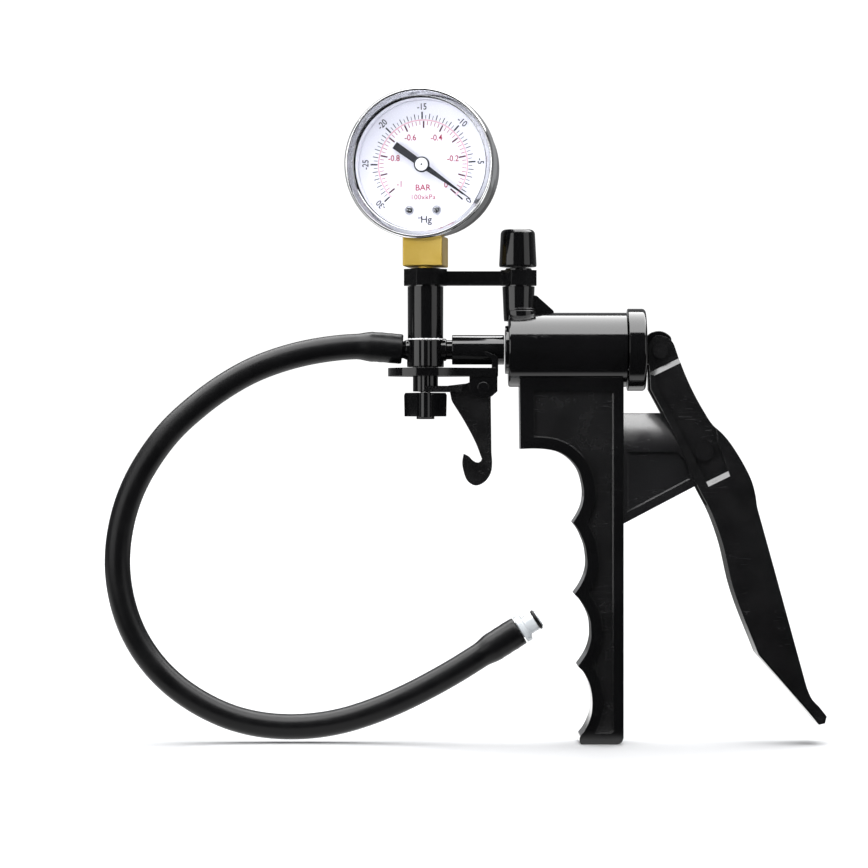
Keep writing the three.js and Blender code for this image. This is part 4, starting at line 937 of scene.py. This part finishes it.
part_set = bpy.data.collections.new("lit_object")
metal_set = bpy.data.collections.new("lit_metal")
web_set = bpy.data.collections.new("lit_web")
floor_set = bpy.data.collections.new("lit_floor")
web_set.objects.link(web)
edge_set = bpy.data.collections.new("lit_edges")
for o in (grip, lever, trig, bridge, frame["nodes"]["pivot_pin"], frame["nodes"]["rod_pin"]):
    edge_set.objects.link(o)
for o in scene.objects:
    if o.type in ("MESH", "CURVE") and o != lens:
        (floor_set if o == floor else metal_set if o in (bezel, case, socket, lens) or o.name.startswith("dial_fixing") else part_set).objects.link(o)


def softbox(name, at, aim, w, h, radiance, only=None, tint=(1, 1, 1)):
    li = bpy.data.lights.new(name, "AREA")
    li.shape, li.size, li.size_y = "RECTANGLE", w, h
    li.energy = radiance * 4 * w * h
    li.color = tint
    o = bpy.data.objects.new(name, li)
    COL.objects.link(o)
    o.location = at
    o.rotation_euler = (Vector(aim) - Vector(at)).to_track_quat("-Z", "Y").to_euler()
    if only is not None:
        o.light_linking.receiver_collection = only
    o.visible_camera = False
    return o


top = softbox("top_softbox", (-0.03, -0.02, 0.67), (-0.03, -0.0199, 0.0), 1.7, 1.05, 8.5, part_set)
top.visible_diffuse = False
fill = softbox("top_fill", (-0.03, -0.10, 0.66), (-0.03, 0.0, 0.05), 1.7, 1.05, 3.4, part_set)
fill.visible_glossy = False
front = softbox("front_fill", (-0.05, -1.6, 0.35), (-0.05, 0.0, 0.08), 1.2, 0.8, 1.6, part_set)
front.visible_glossy = False
left = softbox("left_softbox", (-0.60, -0.43, 0.10), (-0.05, 0, 0.07), 0.60, 0.62, 2.6, part_set)
right = softbox("right_softbox", (0.55, -0.36, 0.10), (-0.03, 0, 0.07), 0.46, 0.62, 1.3, part_set)
wb = softbox("web_softbox", (0.045, -0.42, 0.60), (0.015, 0, 0.046), 0.9, 0.40, 15.0, web_set)
wb.light_linking.blocker_collection = web_set
e1 = softbox("edge_left", (-0.60, -0.43, 0.12), (-0.02, 0, 0.03), 0.75, 0.7, 11.0, edge_set)
e2 = softbox("edge_high", (-0.02, -0.55, 0.62), (0.0, 0, 0.03), 1.0, 0.5, 5.0, edge_set)
e1.visible_diffuse = e2.visible_diffuse = False
softbox("metal_top", (-0.03, -0.02, 0.67), (-0.03, -0.0199, 0.0), 1.7, 1.05, 2.0, metal_set)
softbox("metal_left", (-0.60, -0.43, 0.10), (-0.05, 0, 0.07), 0.60, 0.62, 1.0, metal_set)
softbox("metal_right", (0.55, -0.36, 0.10), (-0.03, 0, 0.07), 0.46, 0.62, 0.35, metal_set)
softbox("metal_front", (-0.05, -1.7, 0.10), (-0.05, 0.0, 0.10), 0.7, 0.5, 3.6, metal_set)
sun = bpy.data.lights.new("floor_light", "SUN")
sun.energy, sun.angle = 3.75, math.radians(70)
sun_obj = bpy.data.objects.new("floor_light", sun)
COL.objects.link(sun_obj)
sun_obj.rotation_euler = (math.radians(-14), math.radians(4), 0)
sun_obj.light_linking.receiver_collection = floor_set

scene.view_settings.view_transform = "Standard"
scene.view_settings.look = "None"
scene.view_settings.exposure = 0.0
scene.view_settings.gamma = 1.0
